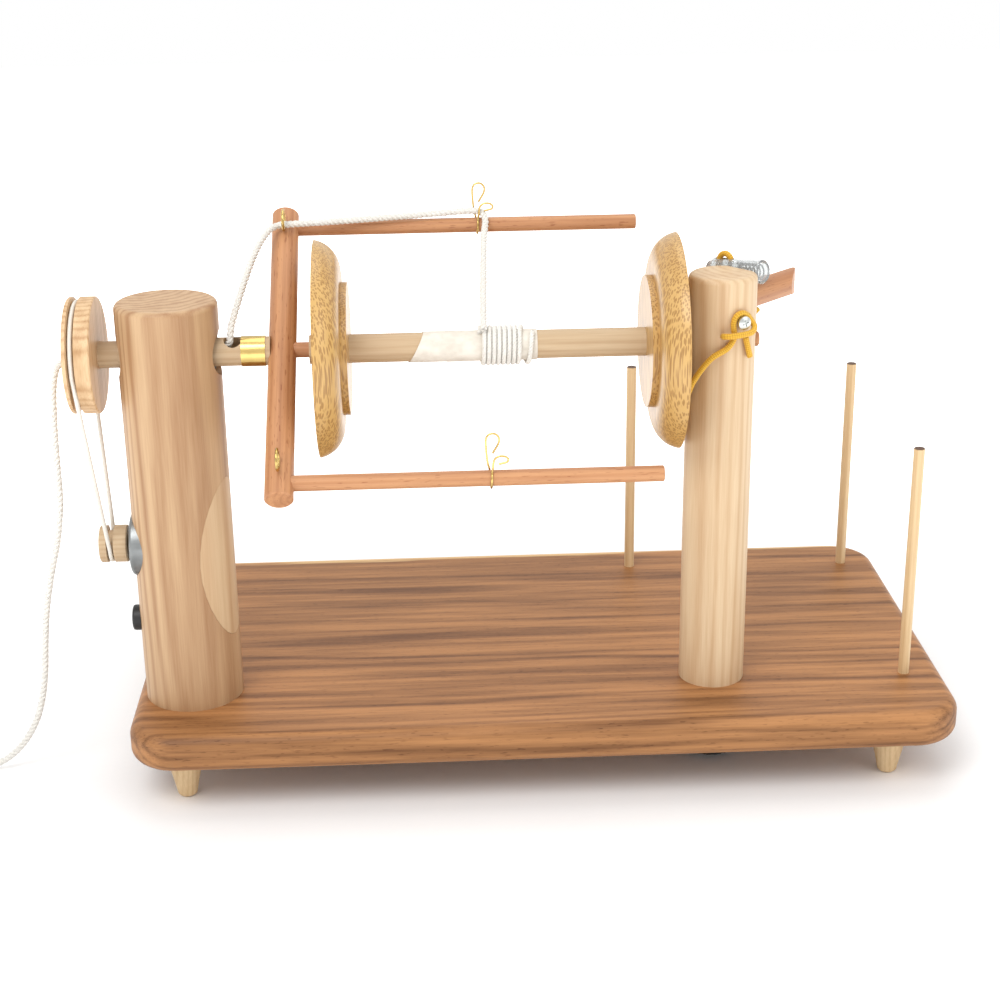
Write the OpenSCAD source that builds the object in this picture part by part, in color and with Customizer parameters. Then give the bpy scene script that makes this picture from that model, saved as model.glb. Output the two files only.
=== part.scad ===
// Electric yarn plying machine: a flyer and bobbin between two wooden posts on a board.
// X runs along the spindle to the right, Y to the back, Z up.
// The origin is on the floor, under the middle of the whole machine without its loose yarn.

/* [Board and feet] */
// Length of the board
board_length = 450; // [380:5:520]
// Depth of the board
board_depth = 246; // [200:2:300]
// Thickness of the board
board_thickness = 21; // [18:0.5:30]
// Radius of the board's corners in plan
board_corner_r = 26; // [12:1:50]
// Rounding of the board's long and short edges
board_edge_r = 7; // [2:0.5:8]
// Height of the feet
foot_height = 26; // [22:1:50]
// Diameter of a foot where it meets the board
foot_top_d = 20; // [15:0.5:28]
// Diameter of a foot near the floor
foot_tip_d = 11; // [9:0.5:14]
// Rounding of a foot's tip
foot_tip_r = 3; // [1:0.5:4]
// Diameter of a foot's tenon
foot_tenon_d = 8; // [5:0.5:12]
// Depth of a foot's tenon in the board
foot_tenon_depth = 10; // [5:1:13]
// Distance of the left feet from the left edge
foot_inset_left = 28; // [20:0.5:50]
// Distance of the right feet from the right edge
foot_inset_right = 35.5; // [20:0.5:50]
// Distance of all the feet from the long edges
foot_inset_side = 26.4; // [20:0.2:40]

/* [Posts] */
// Diameter of the motor post
motor_post_d = 53; // [50:0.5:60]
// Height of the motor post above the board
motor_post_height = 222; // [215:1:250]
// Distance of the motor post's axis from the left edge
motor_post_inset = 32; // [28:0.5:50]
// Diameter of the support post
support_post_d = 35.8; // [32:0.2:44]
// Height of the support post above the board
support_post_height = 230; // [225:1:260]
// Distance between the axes of the two posts
post_spacing = 287.7; // [270:0.1:320]
// Rounding of the posts' top edges
post_round = 3; // [1:0.5:5]
// Distance of the posts' flat behind the support post's top from its axis
post_flat_reach = 12.8; // [12.2:0.1:13.4]
// Height of that flat
post_flat_height = 68; // [50:1:90]
// Direction of that flat, from the right towards the back
post_flat_turn = 40; // [36:1:44]
// Diameter of the wood screws under the motor post
post_screw_d = 4.4; // [3:0.2:6]
// Length of the wood screws under the motor post
post_screw_length = 50; // [35:1:54]

/* [Spindle] */
// Distance of the spindle from the board's front edge
spindle_inset = 58.8; // [45:0.2:80]
// Height of the spindle above the board
spindle_height = 194.2; // [185:0.2:205]
// Diameter of the hollow shaft
shaft_d = 15; // [14:0.1:16]
// Diameter of the shaft's thinner end, left of the post
shaft_end_d = 14; // [13:0.1:15]
// Diameter of the yarn hole along the shaft
orifice_d = 10; // [9:0.1:11]
// Diameter of the side hole where the yarn comes out
side_hole_d = 9.6; // [9:0.1:10]
// Distance of the side hole from the crossbar's axis
side_hole_offset = 25.1; // [24:0.1:27]
// Elevation of the side hole, to the front
side_hole_rise = 70; // [60:1:80]
// Wall of the brass ferrule
ferrule_wall = 0.45; // [0.3:0.05:0.8]
// Length of the brass ferrule
ferrule_length = 12.5; // [10:0.5:15]
// Outer diameter of a ball bearing
bearing_d = 24; // [22:0.5:28]
// Width of a ball bearing
bearing_w = 5; // [4:0.5:7]
// Distance of a bearing's face inside the post
bearing_inset = 3.5; // [2:0.5:6]

/* [Whorl, pulley and belt] */
// Diameter of the flyer's whorl
whorl_d = 60.4; // [50:0.2:66]
// Width of the flyer's whorl
whorl_w = 14; // [12:0.5:20]
// Distance of the whorl from the motor post
whorl_gap = 9.5; // [8:0.5:14]
// Distance of the belt's plane from the whorl's outer face
whorl_groove_x = 4.1; // [3.6:0.1:6]
// Diameter of the belt's path round the whorl
whorl_pitch_d = 55.4; // [46:0.2:56]
// Diameter of the motor's pulley
pulley_d = 20; // [19:0.2:24]
// Width of the motor's pulley
pulley_w = 14.8; // [12:0.2:18]
// Distance of the belt's plane from the pulley's outer face
pulley_groove_x = 5.8; // [4:0.1:7]
// Diameter of the belt's path round the pulley
pulley_pitch_d = 17.4; // [16:0.2:18]
// Diameter of the belt
belt_d = 2.3; // [1.8:0.1:2.6]

/* [Motor and speed control] */
// Height of the motor's axis above the board
motor_height = 89; // [87:0.5:94]
// Diameter of the motor's can
motor_d = 34.6; // [32:0.2:35]
// Length of the motor's can
motor_length = 41.3; // [38:0.1:41.6]
// How far the motor's face stands out of the post
motor_proud = 0.8; // [0.2:0.1:3]
// Diameter of the motor's shaft
motor_shaft_d = 3.2; // [2:0.1:4]
// Height of the speed knob above the board
knob_height = 45.2; // [44:0.2:47]
// Diameter of the speed knob
knob_d = 14; // [10:0.5:18]
// Thickness of the speed knob
knob_thickness = 4.8; // [3:0.1:8]
// Depth of the round seat that the knob sits in
knob_seat_depth = 1.1; // [0.6:0.1:2]
// Diameter of the speed control's body
pot_d = 10.8; // [9:0.2:12]
// Height of the middle of the access cover above the board
cover_height = 83; // [81:0.5:85]
// Width of the access cover across the post
cover_w = 39.4; // [37:0.2:42]
// Height of the access cover from end to end
cover_h = 90; // [88:1:96]
// Thickness of the access cover
cover_t = 3; // [2.6:0.1:3.2]
// Direction of the access cover, from the right towards the back
cover_turn = -18; // [-22:1:-14]
// Diameter of the power inlet's opening
inlet_bore_d = 5.5; // [4.5:0.1:6]

/* [Flyer] */
// Distance of the crossbar's axis from the motor post
crossbar_gap = 32; // [30:0.5:40]
// Diameter of the crossbar
crossbar_d = 14.5; // [13:0.1:16]
// Length of the crossbar
crossbar_length = 187; // [183:1:200]
// Diameter of the arms
arm_d = 8; // [6:0.1:10]
// Distance of the arms' axes from the spindle
arm_reach = 83.5; // [80:0.5:88]
// Length of the arms from the crossbar's axis
arm_length = 191.3; // [180:0.1:196]
// Diameter of the axle that carries the bobbin
axle_d = 8; // [7:0.1:9]
// How far the axle stands out past the support post
axle_proud = 1.9; // [1:0.1:6]
// Turn of the flyer from upright, to the back
flyer_turn = 54; // [50:1:58]
// Outer diameter of an eye's ring
eye_d = 12; // [11:0.5:14]
// Diameter of an eye's wire
eye_wire_d = 1.6; // [1.2:0.1:2]
// Distance of the eyes from the spindle
eye_reach = 78; // [76:0.5:78.5]
// Diameter of a sliding hook's wire
hook_wire_d = 1.1; // [0.8:0.1:1.3]
// Distance of the upper hook from the crossbar's axis
hook_upper_x = 104; // [100:0.5:110]
// Distance of the lower hook from the crossbar's axis
hook_lower_x = 104.5; // [60:0.5:140]

/* [Bobbin] */
// Length of the bobbin's tube
bobbin_length = 196.4; // [190:0.1:198]
// Diameter of the bobbin's tube
bobbin_tube_d = 15; // [13:0.1:17]
// Gap between the bobbin and the support post
bobbin_end_gap = 0.8; // [0.5:0.1:1.6]
// How far the tube stands out past the left dish's rim
tube_proud_left = 4.1; // [2:0.1:8]
// How far the tube stands out past the right dish's rim
tube_proud_right = 5; // [4:0.1:6]
// Diameter of the bobbin's dishes
dish_d = 112.8; // [100:0.2:116]
// Depth of a dish from its rim to its flat face
dish_depth = 13; // [12:0.2:16]
// Radius of a dish's rounded side
dish_side_r = 16; // [14:0.5:18]
// Thickness of a dish's rounded wall
dish_wall = 4.5; // [3.5:0.1:6]
// Diameter of the raised foot on a dish
dish_foot_d = 69; // [60:0.5:74]
// Height of the raised foot on a dish
dish_foot_h = 3.4; // [2:0.1:5]
// Diameter of the brake whorl inside the right dish
brake_whorl_d = 57; // [50:0.5:64]
// Width of the brake whorl
brake_whorl_w = 11; // [10:0.1:12]
// Distance of the brake groove from the brake whorl's outer face
brake_groove_x = 4; // [3.8:0.1:4.4]
// Thickness of the paper under the yarn
paper_t = 0.5; // [0.3:0.05:0.7]

/* [Yarn] */
// Diameter of the yarn on the flyer
yarn_d = 3.4; // [2.8:0.1:3.5]
// Diameter of the loose supply yarn
supply_d = 3.8; // [3:0.1:4]
// Diameter of the wound yarn
wound_d = 2.1; // [1.6:0.1:2.1]
// Pitch of the wound yarn
wound_pitch = 2.6; // [2.55:0.05:3]
// Close turns of the wound yarn
wound_turns = 8; // [4:1:10]
// Turns of the supply yarn's coil
coil_turns = 8; // [4:2:10]
// Diameter across the middle of the coil's turns
coil_d = 42; // [38:1:46]

/* [Brake] */
// Diameter of the stretchy brake cord
brake_cord_d = 3.2; // [2.6:0.1:3.3]
// Diameter of the brake screw's head
brake_screw_head_d = 7; // [6:0.5:8]
// Diameter of the brake screw's shank
brake_screw_d = 3; // [2:0.1:4]
// Length of the brake screw's thread in the post
brake_screw_length = 11; // [8:0.5:12]
// Height of the brake screw above the board
brake_screw_height = 208.5; // [208:0.1:209]
// Diameter of the tension peg
tension_peg_d = 14; // [13:0.2:14.2]
// Distance of the tension peg's end from the post's axis
tension_peg_reach = 67; // [60:1:80]
// Direction of the tension peg, from the right towards the back
tension_peg_turn = 44.8; // [43:0.2:46]
// Height of the tension peg's axis above the board
tension_peg_height = 213.4; // [213:0.1:213.6]
// Diameter of the cord lock
lock_d = 12.6; // [12.2:0.1:13]
// Diameter of the cord lock's plunger
lock_plunger_d = 9.2; // [8.6:0.1:9.4]
// How far the plunger can be pressed in
lock_travel = 2.5; // [1:0.5:2.5]

/* [Loose pegs] */
// Diameter of the three yarn pegs
peg_d = 6; // [4:0.5:10]
// Height of the three yarn pegs above the board
peg_height = 133; // [80:1:200]
// Depth of the pegs' holes
peg_depth = 14; // [8:1:17]
// Distance of the two right pegs from the right edge
peg_inset_right = 22.5; // [15:0.5:40]
// Distance of the front peg from the front edge
peg_inset_front = 52.4; // [30:0.2:80]
// Distance of the right back peg from the back edge
peg_inset_back = 33.5; // [15:0.5:60]
// Distance of the middle back peg from the back edge
peg_mid_inset_back = 29; // [15:0.5:60]
// Distance of the middle back peg from the right edge
peg_mid_inset_right = 158.3; // [100:0.1:200]

/* [Clamp] */
// Diameter of the clamp knob under the board
clamp_knob_d = 34; // [24:1:44]
// Height of the clamp knob's grip
clamp_knob_h = 16; // [10:1:18]
// Diameter of the clamp bolt
clamp_bolt_d = 8; // [6:1:10]
// Length of the brass insert in the support post
insert_length = 15; // [10:1:20]
// Wall of the brass insert
insert_wall = 1.5; // [1:0.1:2.5]

/* [Hidden] */
$fn = 96;

// Clearances: glued joints, running fits, and open gaps between moving pieces
glue_gap = 0.05;
run_gap = 0.06;
air_gap = 0.3;
past = 1;

// Places of the board and the posts
board_top = foot_height + board_thickness;
crossbar_chamfer = 0.8;
left_overhang = motor_post_d / 2 + whorl_gap + whorl_w - motor_post_inset;
front_overhang = crossbar_length / 2 * sin(flyer_turn)
    + (crossbar_d / 2 - crossbar_chamfer) * cos(flyer_turn) - spindle_inset;
board_left = (left_overhang - board_length) / 2;
board_right = board_left + board_length;
board_front = (front_overhang - board_depth) / 2;
board_back = board_front + board_depth;
motor_post_x = board_left + motor_post_inset;
support_post_x = motor_post_x + post_spacing;
spindle_y = board_front + spindle_inset;
spindle_z = board_top + spindle_height;
motor_post_r = motor_post_d / 2;
support_post_r = support_post_d / 2;
foot_x_left = board_left + foot_inset_left;
foot_x_right = board_right - foot_inset_right;
foot_y_front = board_front + foot_inset_side;
foot_y_back = board_back - foot_inset_side;

// Places along the spindle
whorl_right = motor_post_x - motor_post_r - whorl_gap;
whorl_left = whorl_right - whorl_w;
crossbar_x = motor_post_x + motor_post_r + crossbar_gap;
crossbar_r = crossbar_d / 2;
side_hole_x = crossbar_x - side_hole_offset;
ferrule_to_crossbar = 1.25;
orifice_to_crossbar = 10.9;
axle_past_crossbar = 9.25;
ferrule_right = crossbar_x - crossbar_r - ferrule_to_crossbar;
orifice_end = crossbar_x - crossbar_r - orifice_to_crossbar;
axle_socket = crossbar_x - crossbar_r - axle_past_crossbar;
axle_right = support_post_x + support_post_r + axle_proud;
axle_r = axle_d / 2;
bobbin_right = support_post_x - support_post_r - bobbin_end_gap;
bobbin_left = bobbin_right - bobbin_length;
bobbin_r = bobbin_tube_d / 2;
rim_left = bobbin_left + tube_proud_left;
rim_right = bobbin_right - tube_proud_right;
dish_r = dish_d / 2;
dish_hollow = dish_depth - dish_wall;
dish_inner_side_r = dish_side_r - dish_wall;
brake_left = rim_right - dish_hollow;
brake_right = brake_left + brake_whorl_w;
brake_groove = brake_right - brake_groove_x;

// Whorl, pulley and motor
whorl_belt_x = whorl_left + whorl_groove_x;
motor_z = board_top + motor_height;
motor_face = motor_post_x - motor_post_r - motor_proud;
motor_back = motor_face + motor_length;
motor_boss_h = 1.4;
pulley_to_boss = 0.7;
pulley_right = motor_face - motor_boss_h - pulley_to_boss;
pulley_left = pulley_right - pulley_w;
pulley_belt_x = pulley_left + pulley_groove_x;
motor_shaft_r = motor_shaft_d / 2;
can_wall = 1.5;
knob_z = board_top + knob_height;
knob_seat = motor_post_x - motor_post_r + knob_seat_depth;
knob_right = knob_seat - air_gap;
pot_wall = 3.9;
pot_left = knob_seat + pot_wall;
pot_length = 8.4;
board_x = pot_left + pot_length;
cover_z = board_top + cover_height;
cover_ledge = 2;
cover_gap = 0.15;
inlet_height = 56;
inlet_z = board_top + inlet_height;
inlet_aside = 3;
inlet_seat_depth = 2;
inlet_x = motor_post_x - inlet_aside;
inlet_r = 4;
inlet_seat_y = spindle_y + motor_post_r - inlet_seat_depth;

// Colours
acacia = [0.62, 0.42, 0.26];
pine = [0.90, 0.78, 0.60];
beech = [0.80, 0.52, 0.34];
bamboo = [0.80, 0.62, 0.38];
dowel = [0.86, 0.73, 0.54];
brass = [0.85, 0.70, 0.36];
steel = [0.68, 0.69, 0.70];
black = [0.10, 0.10, 0.11];
cotton = [0.96, 0.95, 0.92];
yellow = [0.93, 0.67, 0.14];
clear = [0.88, 0.91, 0.92];
green = [0.12, 0.36, 0.22];

// Vector helpers for tubes that follow a route
function unit(v) = v / norm(v);
function clampi(i, n) = max(0, min(n - 1, i));
function tangents(p) = [
    for (i = [0 : len(p) - 1]) unit(p[clampi(i + 1, len(p))] - p[clampi(i - 1, len(p))])
];
function side_start(t) = unit(cross(t, abs(t.z) < 0.8 ? [0, 0, 1] : [0, 1, 0]));
function side_vectors(t, i) = i == 0
    ? [side_start(t[0])]
    : let (before = side_vectors(t, i - 1), s = before[i - 1])
        concat(before, [unit(s - (s * t[i]) * t[i])]);

// Smooth curve through hand-chosen points, with a number of steps between two of them
function blend_point(a, b, c, d, u) =
    0.5 * (2 * b + (c - a) * u + (2 * a - 5 * b + 4 * c - d) * u * u
        + (3 * b - a - 3 * c + d) * u * u * u);
function smooth_route(p, steps) = [
    for (i = [0 : len(p) - 2], k = [0 : steps - 1])
        blend_point(p[clampi(i - 1, len(p))], p[i], p[i + 1], p[clampi(i + 2, len(p))], k / steps),
    p[len(p) - 1]
];

// Rings of points round a route, and the triangles between them
function ring(c, side, along, r, sides) = [
    for (k = [0 : sides - 1])
        c + r * (cos(360 * k / sides) * side + sin(360 * k / sides) * cross(along, side))
];
function tube_faces(rings, sides, closed) = concat(
    [
        for (i = [0 : rings - (closed ? 1 : 2)], k = [0 : sides - 1])
            let (a = i * sides, b = ((i + 1) % rings) * sides, m = (k + 1) % sides)
                [a + k, b + k, b + m]
    ],
    [
        for (i = [0 : rings - (closed ? 1 : 2)], k = [0 : sides - 1])
            let (a = i * sides, b = ((i + 1) % rings) * sides, m = (k + 1) % sides)
                [a + k, b + m, a + m]
    ],
    closed ? [] : [for (k = [1 : sides - 2]) [0, k, k + 1]],
    closed ? [] : let (a = (rings - 1) * sides) [for (k = [1 : sides - 2]) [a, a + k + 1, a + k]]
);

// Tube of one diameter along a route of points
module tube(p, d, sides) {
    t = tangents(p);
    n = side_vectors(t, len(p) - 1);
    points = [for (i = [0 : len(p) - 1]) each ring(p[i], n[i], t[i], d / 2, sides)];
    polyhedron(points = points, faces = tube_faces(len(p), sides, false), convexity = 8);
}

// Least distance between the surfaces of a tube's own turns, from points over half a turn apart
function own_gap(p, d, apart) = min([
    for (i = [0 : len(p) - 1 - apart], j = [i + apart : len(p) - 1]) norm(p[i] - p[j])
]) - d;

// Rod between two places on the X axis of a body
module rod_x(x0, x1, r, y = spindle_y, z = spindle_z) {
    translate([x0, y, z]) rotate([0, 90, 0]) cylinder(h = x1 - x0, r = r);
}

// Turned shape about an axis along X; the profile's points are [radius, x]
module turned_x(profile, x = 0, y = spindle_y, z = spindle_z) {
    translate([x, y, z]) rotate([0, 90, 0]) rotate_extrude() polygon(profile);
}

// Upright rod with chamfered ends
function rod_profile(r, h, c) = [[0, 0], [r - c, 0], [r, c], [r, h - c], [r - c, h], [0, h]];
module chamfered_rod(r, h, c) {
    rotate_extrude() polygon(rod_profile(r, h, c));
}

// Places the flyer's own frame: Z along the crossbar, minus Y to the side of the eyes
module on_flyer(x = 0) {
    translate([x, spindle_y, spindle_z]) rotate([-flyer_turn, 0, 0]) children();
}

// Base board with rounded corners and rounded edges
module board_section(width) {
    for (side = [-1, 1], h = [board_edge_r, board_thickness - board_edge_r])
        translate([side * (width / 2 - board_edge_r), h]) circle(r = board_edge_r);
    translate([-width / 2 + board_edge_r, 0])
        square([width - 2 * board_edge_r, board_thickness]);
    translate([-width / 2, board_edge_r])
        square([width, board_thickness - 2 * board_edge_r]);
}
module board_blank() {
    run_x = board_length - 2 * board_corner_r;
    run_y = board_depth - 2 * board_corner_r;
    rotate([90, 0, 90]) linear_extrude(run_x, center = true) board_section(board_depth);
    rotate([90, 0, 0]) linear_extrude(run_y, center = true) board_section(board_length);
    for (side_x = [-1, 1], side_y = [-1, 1])
        translate([side_x * run_x / 2, side_y * run_y / 2, 0])
            rotate_extrude() intersection() {
                board_section(2 * board_corner_r);
                square([board_corner_r, board_thickness]);
            }
}
screw_head_r = 4.4;
screw_head_h = 3;
screw_from_axis = 11;
module at_post_screws() {
    for (side = [-1, 1])
        translate([motor_post_x + side * screw_from_axis, spindle_y, foot_height]) children();
}
module base_board() {
    color(acacia)
    difference() {
        translate([(board_left + board_right) / 2, (board_front + board_back) / 2, foot_height])
            board_blank();
        for (x = [foot_x_left, foot_x_right], y = [foot_y_front, foot_y_back])
            translate([x, y, foot_height - past])
                cylinder(h = foot_tenon_depth + air_gap + past, d = foot_tenon_d + 2 * glue_gap);
        for (place = yarn_peg_places)
            translate([place.x, place.y, board_top - peg_depth])
                cylinder(h = peg_depth + past, d = peg_tenon_d + 2 * glue_gap);
        translate([support_post_x, spindle_y, foot_height - past])
            cylinder(h = board_thickness + 2 * past, d = clamp_bolt_d + 2 * air_gap);
        at_post_screws() {
            translate([0, 0, -past])
                cylinder(h = board_thickness + 2 * past, d = post_screw_d + 2 * glue_gap);
            cylinder(h = screw_head_h, r1 = screw_head_r + glue_gap,
                r2 = post_screw_d / 2 + glue_gap);
        }
    }
}

// Turned feet, each with a tenon glued into the board
module foot(x, y) {
    tip = foot_tip_d / 2;
    color(dowel)
    translate([x, y, 0]) {
        rotate_extrude() {
            polygon([[0, 0], [tip - foot_tip_r, 0], [tip - foot_tip_r, foot_tip_r],
                [tip, foot_tip_r], [foot_top_d / 2, foot_height - 2],
                [foot_top_d / 2 - 0.6, foot_height], [0, foot_height]]);
            intersection() {
                translate([tip - foot_tip_r, foot_tip_r]) circle(r = foot_tip_r);
                square([tip, foot_tip_r]);
            }
        }
        translate([0, 0, foot_height - past])
            cylinder(h = foot_tenon_depth + past, d = foot_tenon_d);
    }
}
module foot_front_left() { foot(foot_x_left, foot_y_front); }
module foot_front_right() { foot(foot_x_right, foot_y_front); }
module foot_back_left() { foot(foot_x_left, foot_y_back); }
module foot_back_right() { foot(foot_x_right, foot_y_back); }

// Round column with a rounded top edge
module column(r, h) {
    rotate_extrude() {
        square([r - post_round, h]);
        square([r, h - post_round]);
        translate([r - post_round, h - post_round]) intersection() {
            circle(r = post_round);
            square(post_round);
        }
    }
}

// Motor post: the shaft's bearings, the motor, the speed control and their wiring space
function oval(w, h) = [for (a = [0 : 11.25 : 359]) [w / 2 * cos(a), h / 2 * sin(a)]];
module cover_oval(w, h, x0, x1) {
    translate([motor_post_x, spindle_y, cover_z]) rotate([0, 0, cover_turn])
        translate([x0, 0, 0]) rotate([90, 0, 90]) linear_extrude(x1 - x0) polygon(oval(w, h));
}
module post_core(r) {
    translate([motor_post_x, spindle_y, board_top]) cylinder(h = motor_post_height, r = r);
}
cavity_start = 2;
leads_room_w = 18;
leads_room_top = motor_z - motor_d / 2 - 1.5;
leads_room_bottom = knob_z - 5.7;
module motor_post_hollows() {
    left = motor_post_x - motor_post_r;
    right = motor_post_x + motor_post_r;
    seat_r = bearing_d / 2 + glue_gap;
    rod_x(left - past, left + bearing_inset + bearing_w, seat_r);
    rod_x(right - bearing_inset - bearing_w, right + past, seat_r);
    rod_x(left, right, bearing_d / 2 - 3);
    rod_x(left - past, motor_back + 0.5, motor_d / 2 + air_gap, z = motor_z);
    rod_x(left - past, knob_seat, knob_d / 2 + 0.75, z = knob_z);
    rod_x(left - past, board_x, 3.5 + glue_gap, z = knob_z);
    rod_x(pot_left, board_x + 1, pot_d / 2 + air_gap, z = knob_z);
    intersection() {
        cover_oval(cover_w - 2 * cover_ledge, cover_h - 2 * cover_ledge, cavity_start,
            motor_post_r + past);
        post_core(motor_post_r - cover_t);
    }
    difference() {
        cover_oval(cover_w, cover_h, cavity_start, motor_post_r + past);
        post_core(motor_post_r - cover_t);
    }
    translate([board_x - 0.5, spindle_y - leads_room_w / 2, leads_room_bottom])
        cube([motor_post_x + cavity_start + 4 - board_x, leads_room_w,
            leads_room_top - leads_room_bottom]);
    translate([inlet_x, inlet_seat_y + past + 2, inlet_z]) rotate([90, 0, 0])
        cylinder(h = 2 + past, r = inlet_r + 2.4);
    translate([inlet_x, inlet_seat_y + past, inlet_z]) rotate([90, 0, 0])
        cylinder(h = inlet_seat_y + past - spindle_y, r = inlet_r + glue_gap);
    at_post_screws() cylinder(h = post_screw_length + air_gap, d = post_screw_d + 2 * glue_gap);
}
module motor_post() {
    color(pine)
    difference() {
        translate([motor_post_x, spindle_y, board_top]) column(motor_post_r, motor_post_height);
        motor_post_hollows();
    }
}
module access_cover() {
    color(pine)
    intersection() {
        difference() {
            post_core(motor_post_r);
            post_core(motor_post_r - cover_t + glue_gap);
        }
        cover_oval(cover_w - 2 * cover_gap, cover_h - 2 * cover_gap, cavity_start,
            motor_post_r + past);
    }
}
module post_screws() {
    slot = 0.8;
    color(steel)
    at_post_screws() difference() {
        union() {
            cylinder(h = screw_head_h, r1 = screw_head_r, r2 = post_screw_d / 2);
            cylinder(h = post_screw_length - 4, d = post_screw_d);
            translate([0, 0, post_screw_length - 4]) cylinder(h = 4, d1 = post_screw_d, d2 = 0.4);
        }
        for (turn = [0, 90])
            rotate([0, 0, turn]) translate([-2.4, -slot / 2, -past])
                cube([4.8, slot, past + 1.4]);
    }
}

// Motor: a steel can with its rotor and shaft inside
module motor_can() {
    r = motor_d / 2;
    round_r = 2;
    color(steel)
    difference() {
        union() {
            translate([motor_face, spindle_y, motor_z]) rotate([0, 90, 0]) rotate_extrude() {
                translate([0, round_r]) square([r, motor_length - round_r]);
                square([r - round_r, round_r]);
                intersection() {
                    translate([r - round_r, round_r]) circle(r = round_r);
                    square([r, round_r]);
                }
            }
            rod_x(motor_face - motor_boss_h, motor_face + past, 5, z = motor_z);
            for (side = [-1, 1])
                translate([motor_back - past, spindle_y + side * 6 - 1.4, motor_z - 0.4])
                    cube([past + 3, 2.8, 0.8]);
        }
        rod_x(motor_face - motor_boss_h - past, motor_face + 5, motor_shaft_r + run_gap,
            z = motor_z);
        rod_x(motor_face + can_wall + 1, motor_back - can_wall - 1, r - can_wall, z = motor_z);
        for (side = [-1, 1])
            translate([motor_face - past, spindle_y + side * 11 - 1.2, motor_z - 3.5])
                cube([past + can_wall + 2, 2.4, 7]);
    }
}
rotor_left = motor_face + can_wall + 6;
rotor_right = motor_back - can_wall - 4;
module motor_rotor() {
    color(steel)
    difference() {
        union() {
            rod_x(rotor_left, rotor_right - 8, 12, z = motor_z);
            rod_x(rotor_right - 8, rotor_right, 5, z = motor_z);
        }
        rod_x(rotor_left - past, rotor_right + past, motor_shaft_r + glue_gap, z = motor_z);
        for (turn = [0, 120, 240])
            translate([rotor_left - past, spindle_y, motor_z]) rotate([turn, 0, 0])
                translate([0, -1, 7.5]) cube([rotor_right - rotor_left - 8 + 2 * past, 2, 6]);
    }
}
module motor_shaft() {
    color(steel) rod_x(pulley_left + 1.2, rotor_right + 1.5, motor_shaft_r, z = motor_z);
}

// Grooved wheel for a cord; x is the groove's middle, between the faces x0 and x1
module grooved_wheel(x0, x1, r, x, pitch_r, cord_d, bore_r, z = spindle_z) {
    bottom = pitch_r - cord_d / 2 - air_gap;
    half_bottom = cord_d / 2 + air_gap;
    half_top = half_bottom + (r - bottom) * 0.16;
    c = 0.6;
    turned_x([[bore_r, x0], [r - c, x0], [r, x0 + c], [r, x - half_top],
        [bottom, x - half_bottom], [bottom, x + half_bottom], [r, x + half_top],
        [r, x1 - c], [r - c, x1], [bore_r, x1]], z = z);
}
module drive_pulley() {
    color(dowel) {
        difference() {
            grooved_wheel(pulley_left, pulley_right, pulley_d / 2, pulley_belt_x,
                pulley_pitch_d / 2, belt_d, 0, motor_z);
            rod_x(pulley_left + 1, pulley_right + past, motor_shaft_r + glue_gap, z = motor_z);
        }
    }
}
module flyer_whorl() {
    color(dowel)
    grooved_wheel(whorl_left, whorl_right, whorl_d / 2, whorl_belt_x, whorl_pitch_d / 2,
        belt_d, shaft_end_d / 2 + glue_gap);
}

// Belt: two arcs and two straight runs, wide open between the pulley and the whorl
module drive_belt() {
    big = whorl_pitch_d / 2;
    small = pulley_pitch_d / 2;
    lean = asin((big - small) / (spindle_z - motor_z));
    arc_steps = 22;
    small_steps = 12;
    span = 180 + 2 * lean;
    big_arc = [
        for (i = [0 : arc_steps]) let (a = -span / 2 + span * i / arc_steps)
            [whorl_belt_x, spindle_y + big * sin(a), spindle_z + big * cos(a)]
    ];
    small_arc = [
        for (i = [0 : small_steps]) let (a = span / 2 + (360 - span) * i / small_steps)
            [pulley_belt_x, spindle_y + small * sin(a), motor_z + small * cos(a)]
    ];
    p = concat(big_arc, small_arc);
    count = len(p);
    t = [for (i = [0 : count - 1]) unit(p[(i + 1) % count] - p[(i + count - 1) % count])];
    n = [for (v = t) unit([1, 0, 0] - v.x * v)];
    points = [for (i = [0 : count - 1]) each ring(p[i], n[i], t[i], belt_d / 2, 8)];
    color(cotton)
    polyhedron(points = points, faces = tube_faces(count, 8, true), convexity = 6);
}

// Speed control: knob, variable resistor and circuit board
pot_shaft_r = 2;
module speed_knob() {
    r = knob_d / 2;
    left = knob_right - knob_thickness;
    edge = 1.2;
    color(black) {
        difference() {
            turned_x([[0, left], [r - edge, left], [r - 0.35, left + 0.35], [r, left + edge],
                [r, knob_right], [0, knob_right]], z = knob_z);
            translate([left - past, spindle_y - 0.5, knob_z + 1])
                cube([past + 0.6, 1, r]);
        }
        rod_x(knob_right - past, pot_left + 4, pot_shaft_r, z = knob_z);
    }
}
module potentiometer() {
    color(steel)
    difference() {
        union() {
            rod_x(knob_seat + 0.1, pot_left + past, 3.5, z = knob_z);
            rod_x(pot_left, board_x, pot_d / 2, z = knob_z);
        }
        rod_x(knob_seat, pot_left + 4.5, pot_shaft_r + run_gap, z = knob_z);
    }
}
module control_board() {
    thick = 1.6;
    width = leads_room_w - 1.4;
    color(green) {
        translate([board_x, spindle_y - width / 2, leads_room_bottom + 0.5])
            cube([thick, width, leads_room_top - leads_room_bottom - 1]);
        rod_x(board_x + thick, board_x + thick + 5, 2.5, spindle_y - 4.5, knob_z + 2);
        translate([board_x + thick, spindle_y + 0.5, knob_z + 9]) cube([3, 6, 7]);
        translate([board_x + thick, spindle_y - 7, knob_z + 11]) cube([1.5, 5, 5]);
    }
}
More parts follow.
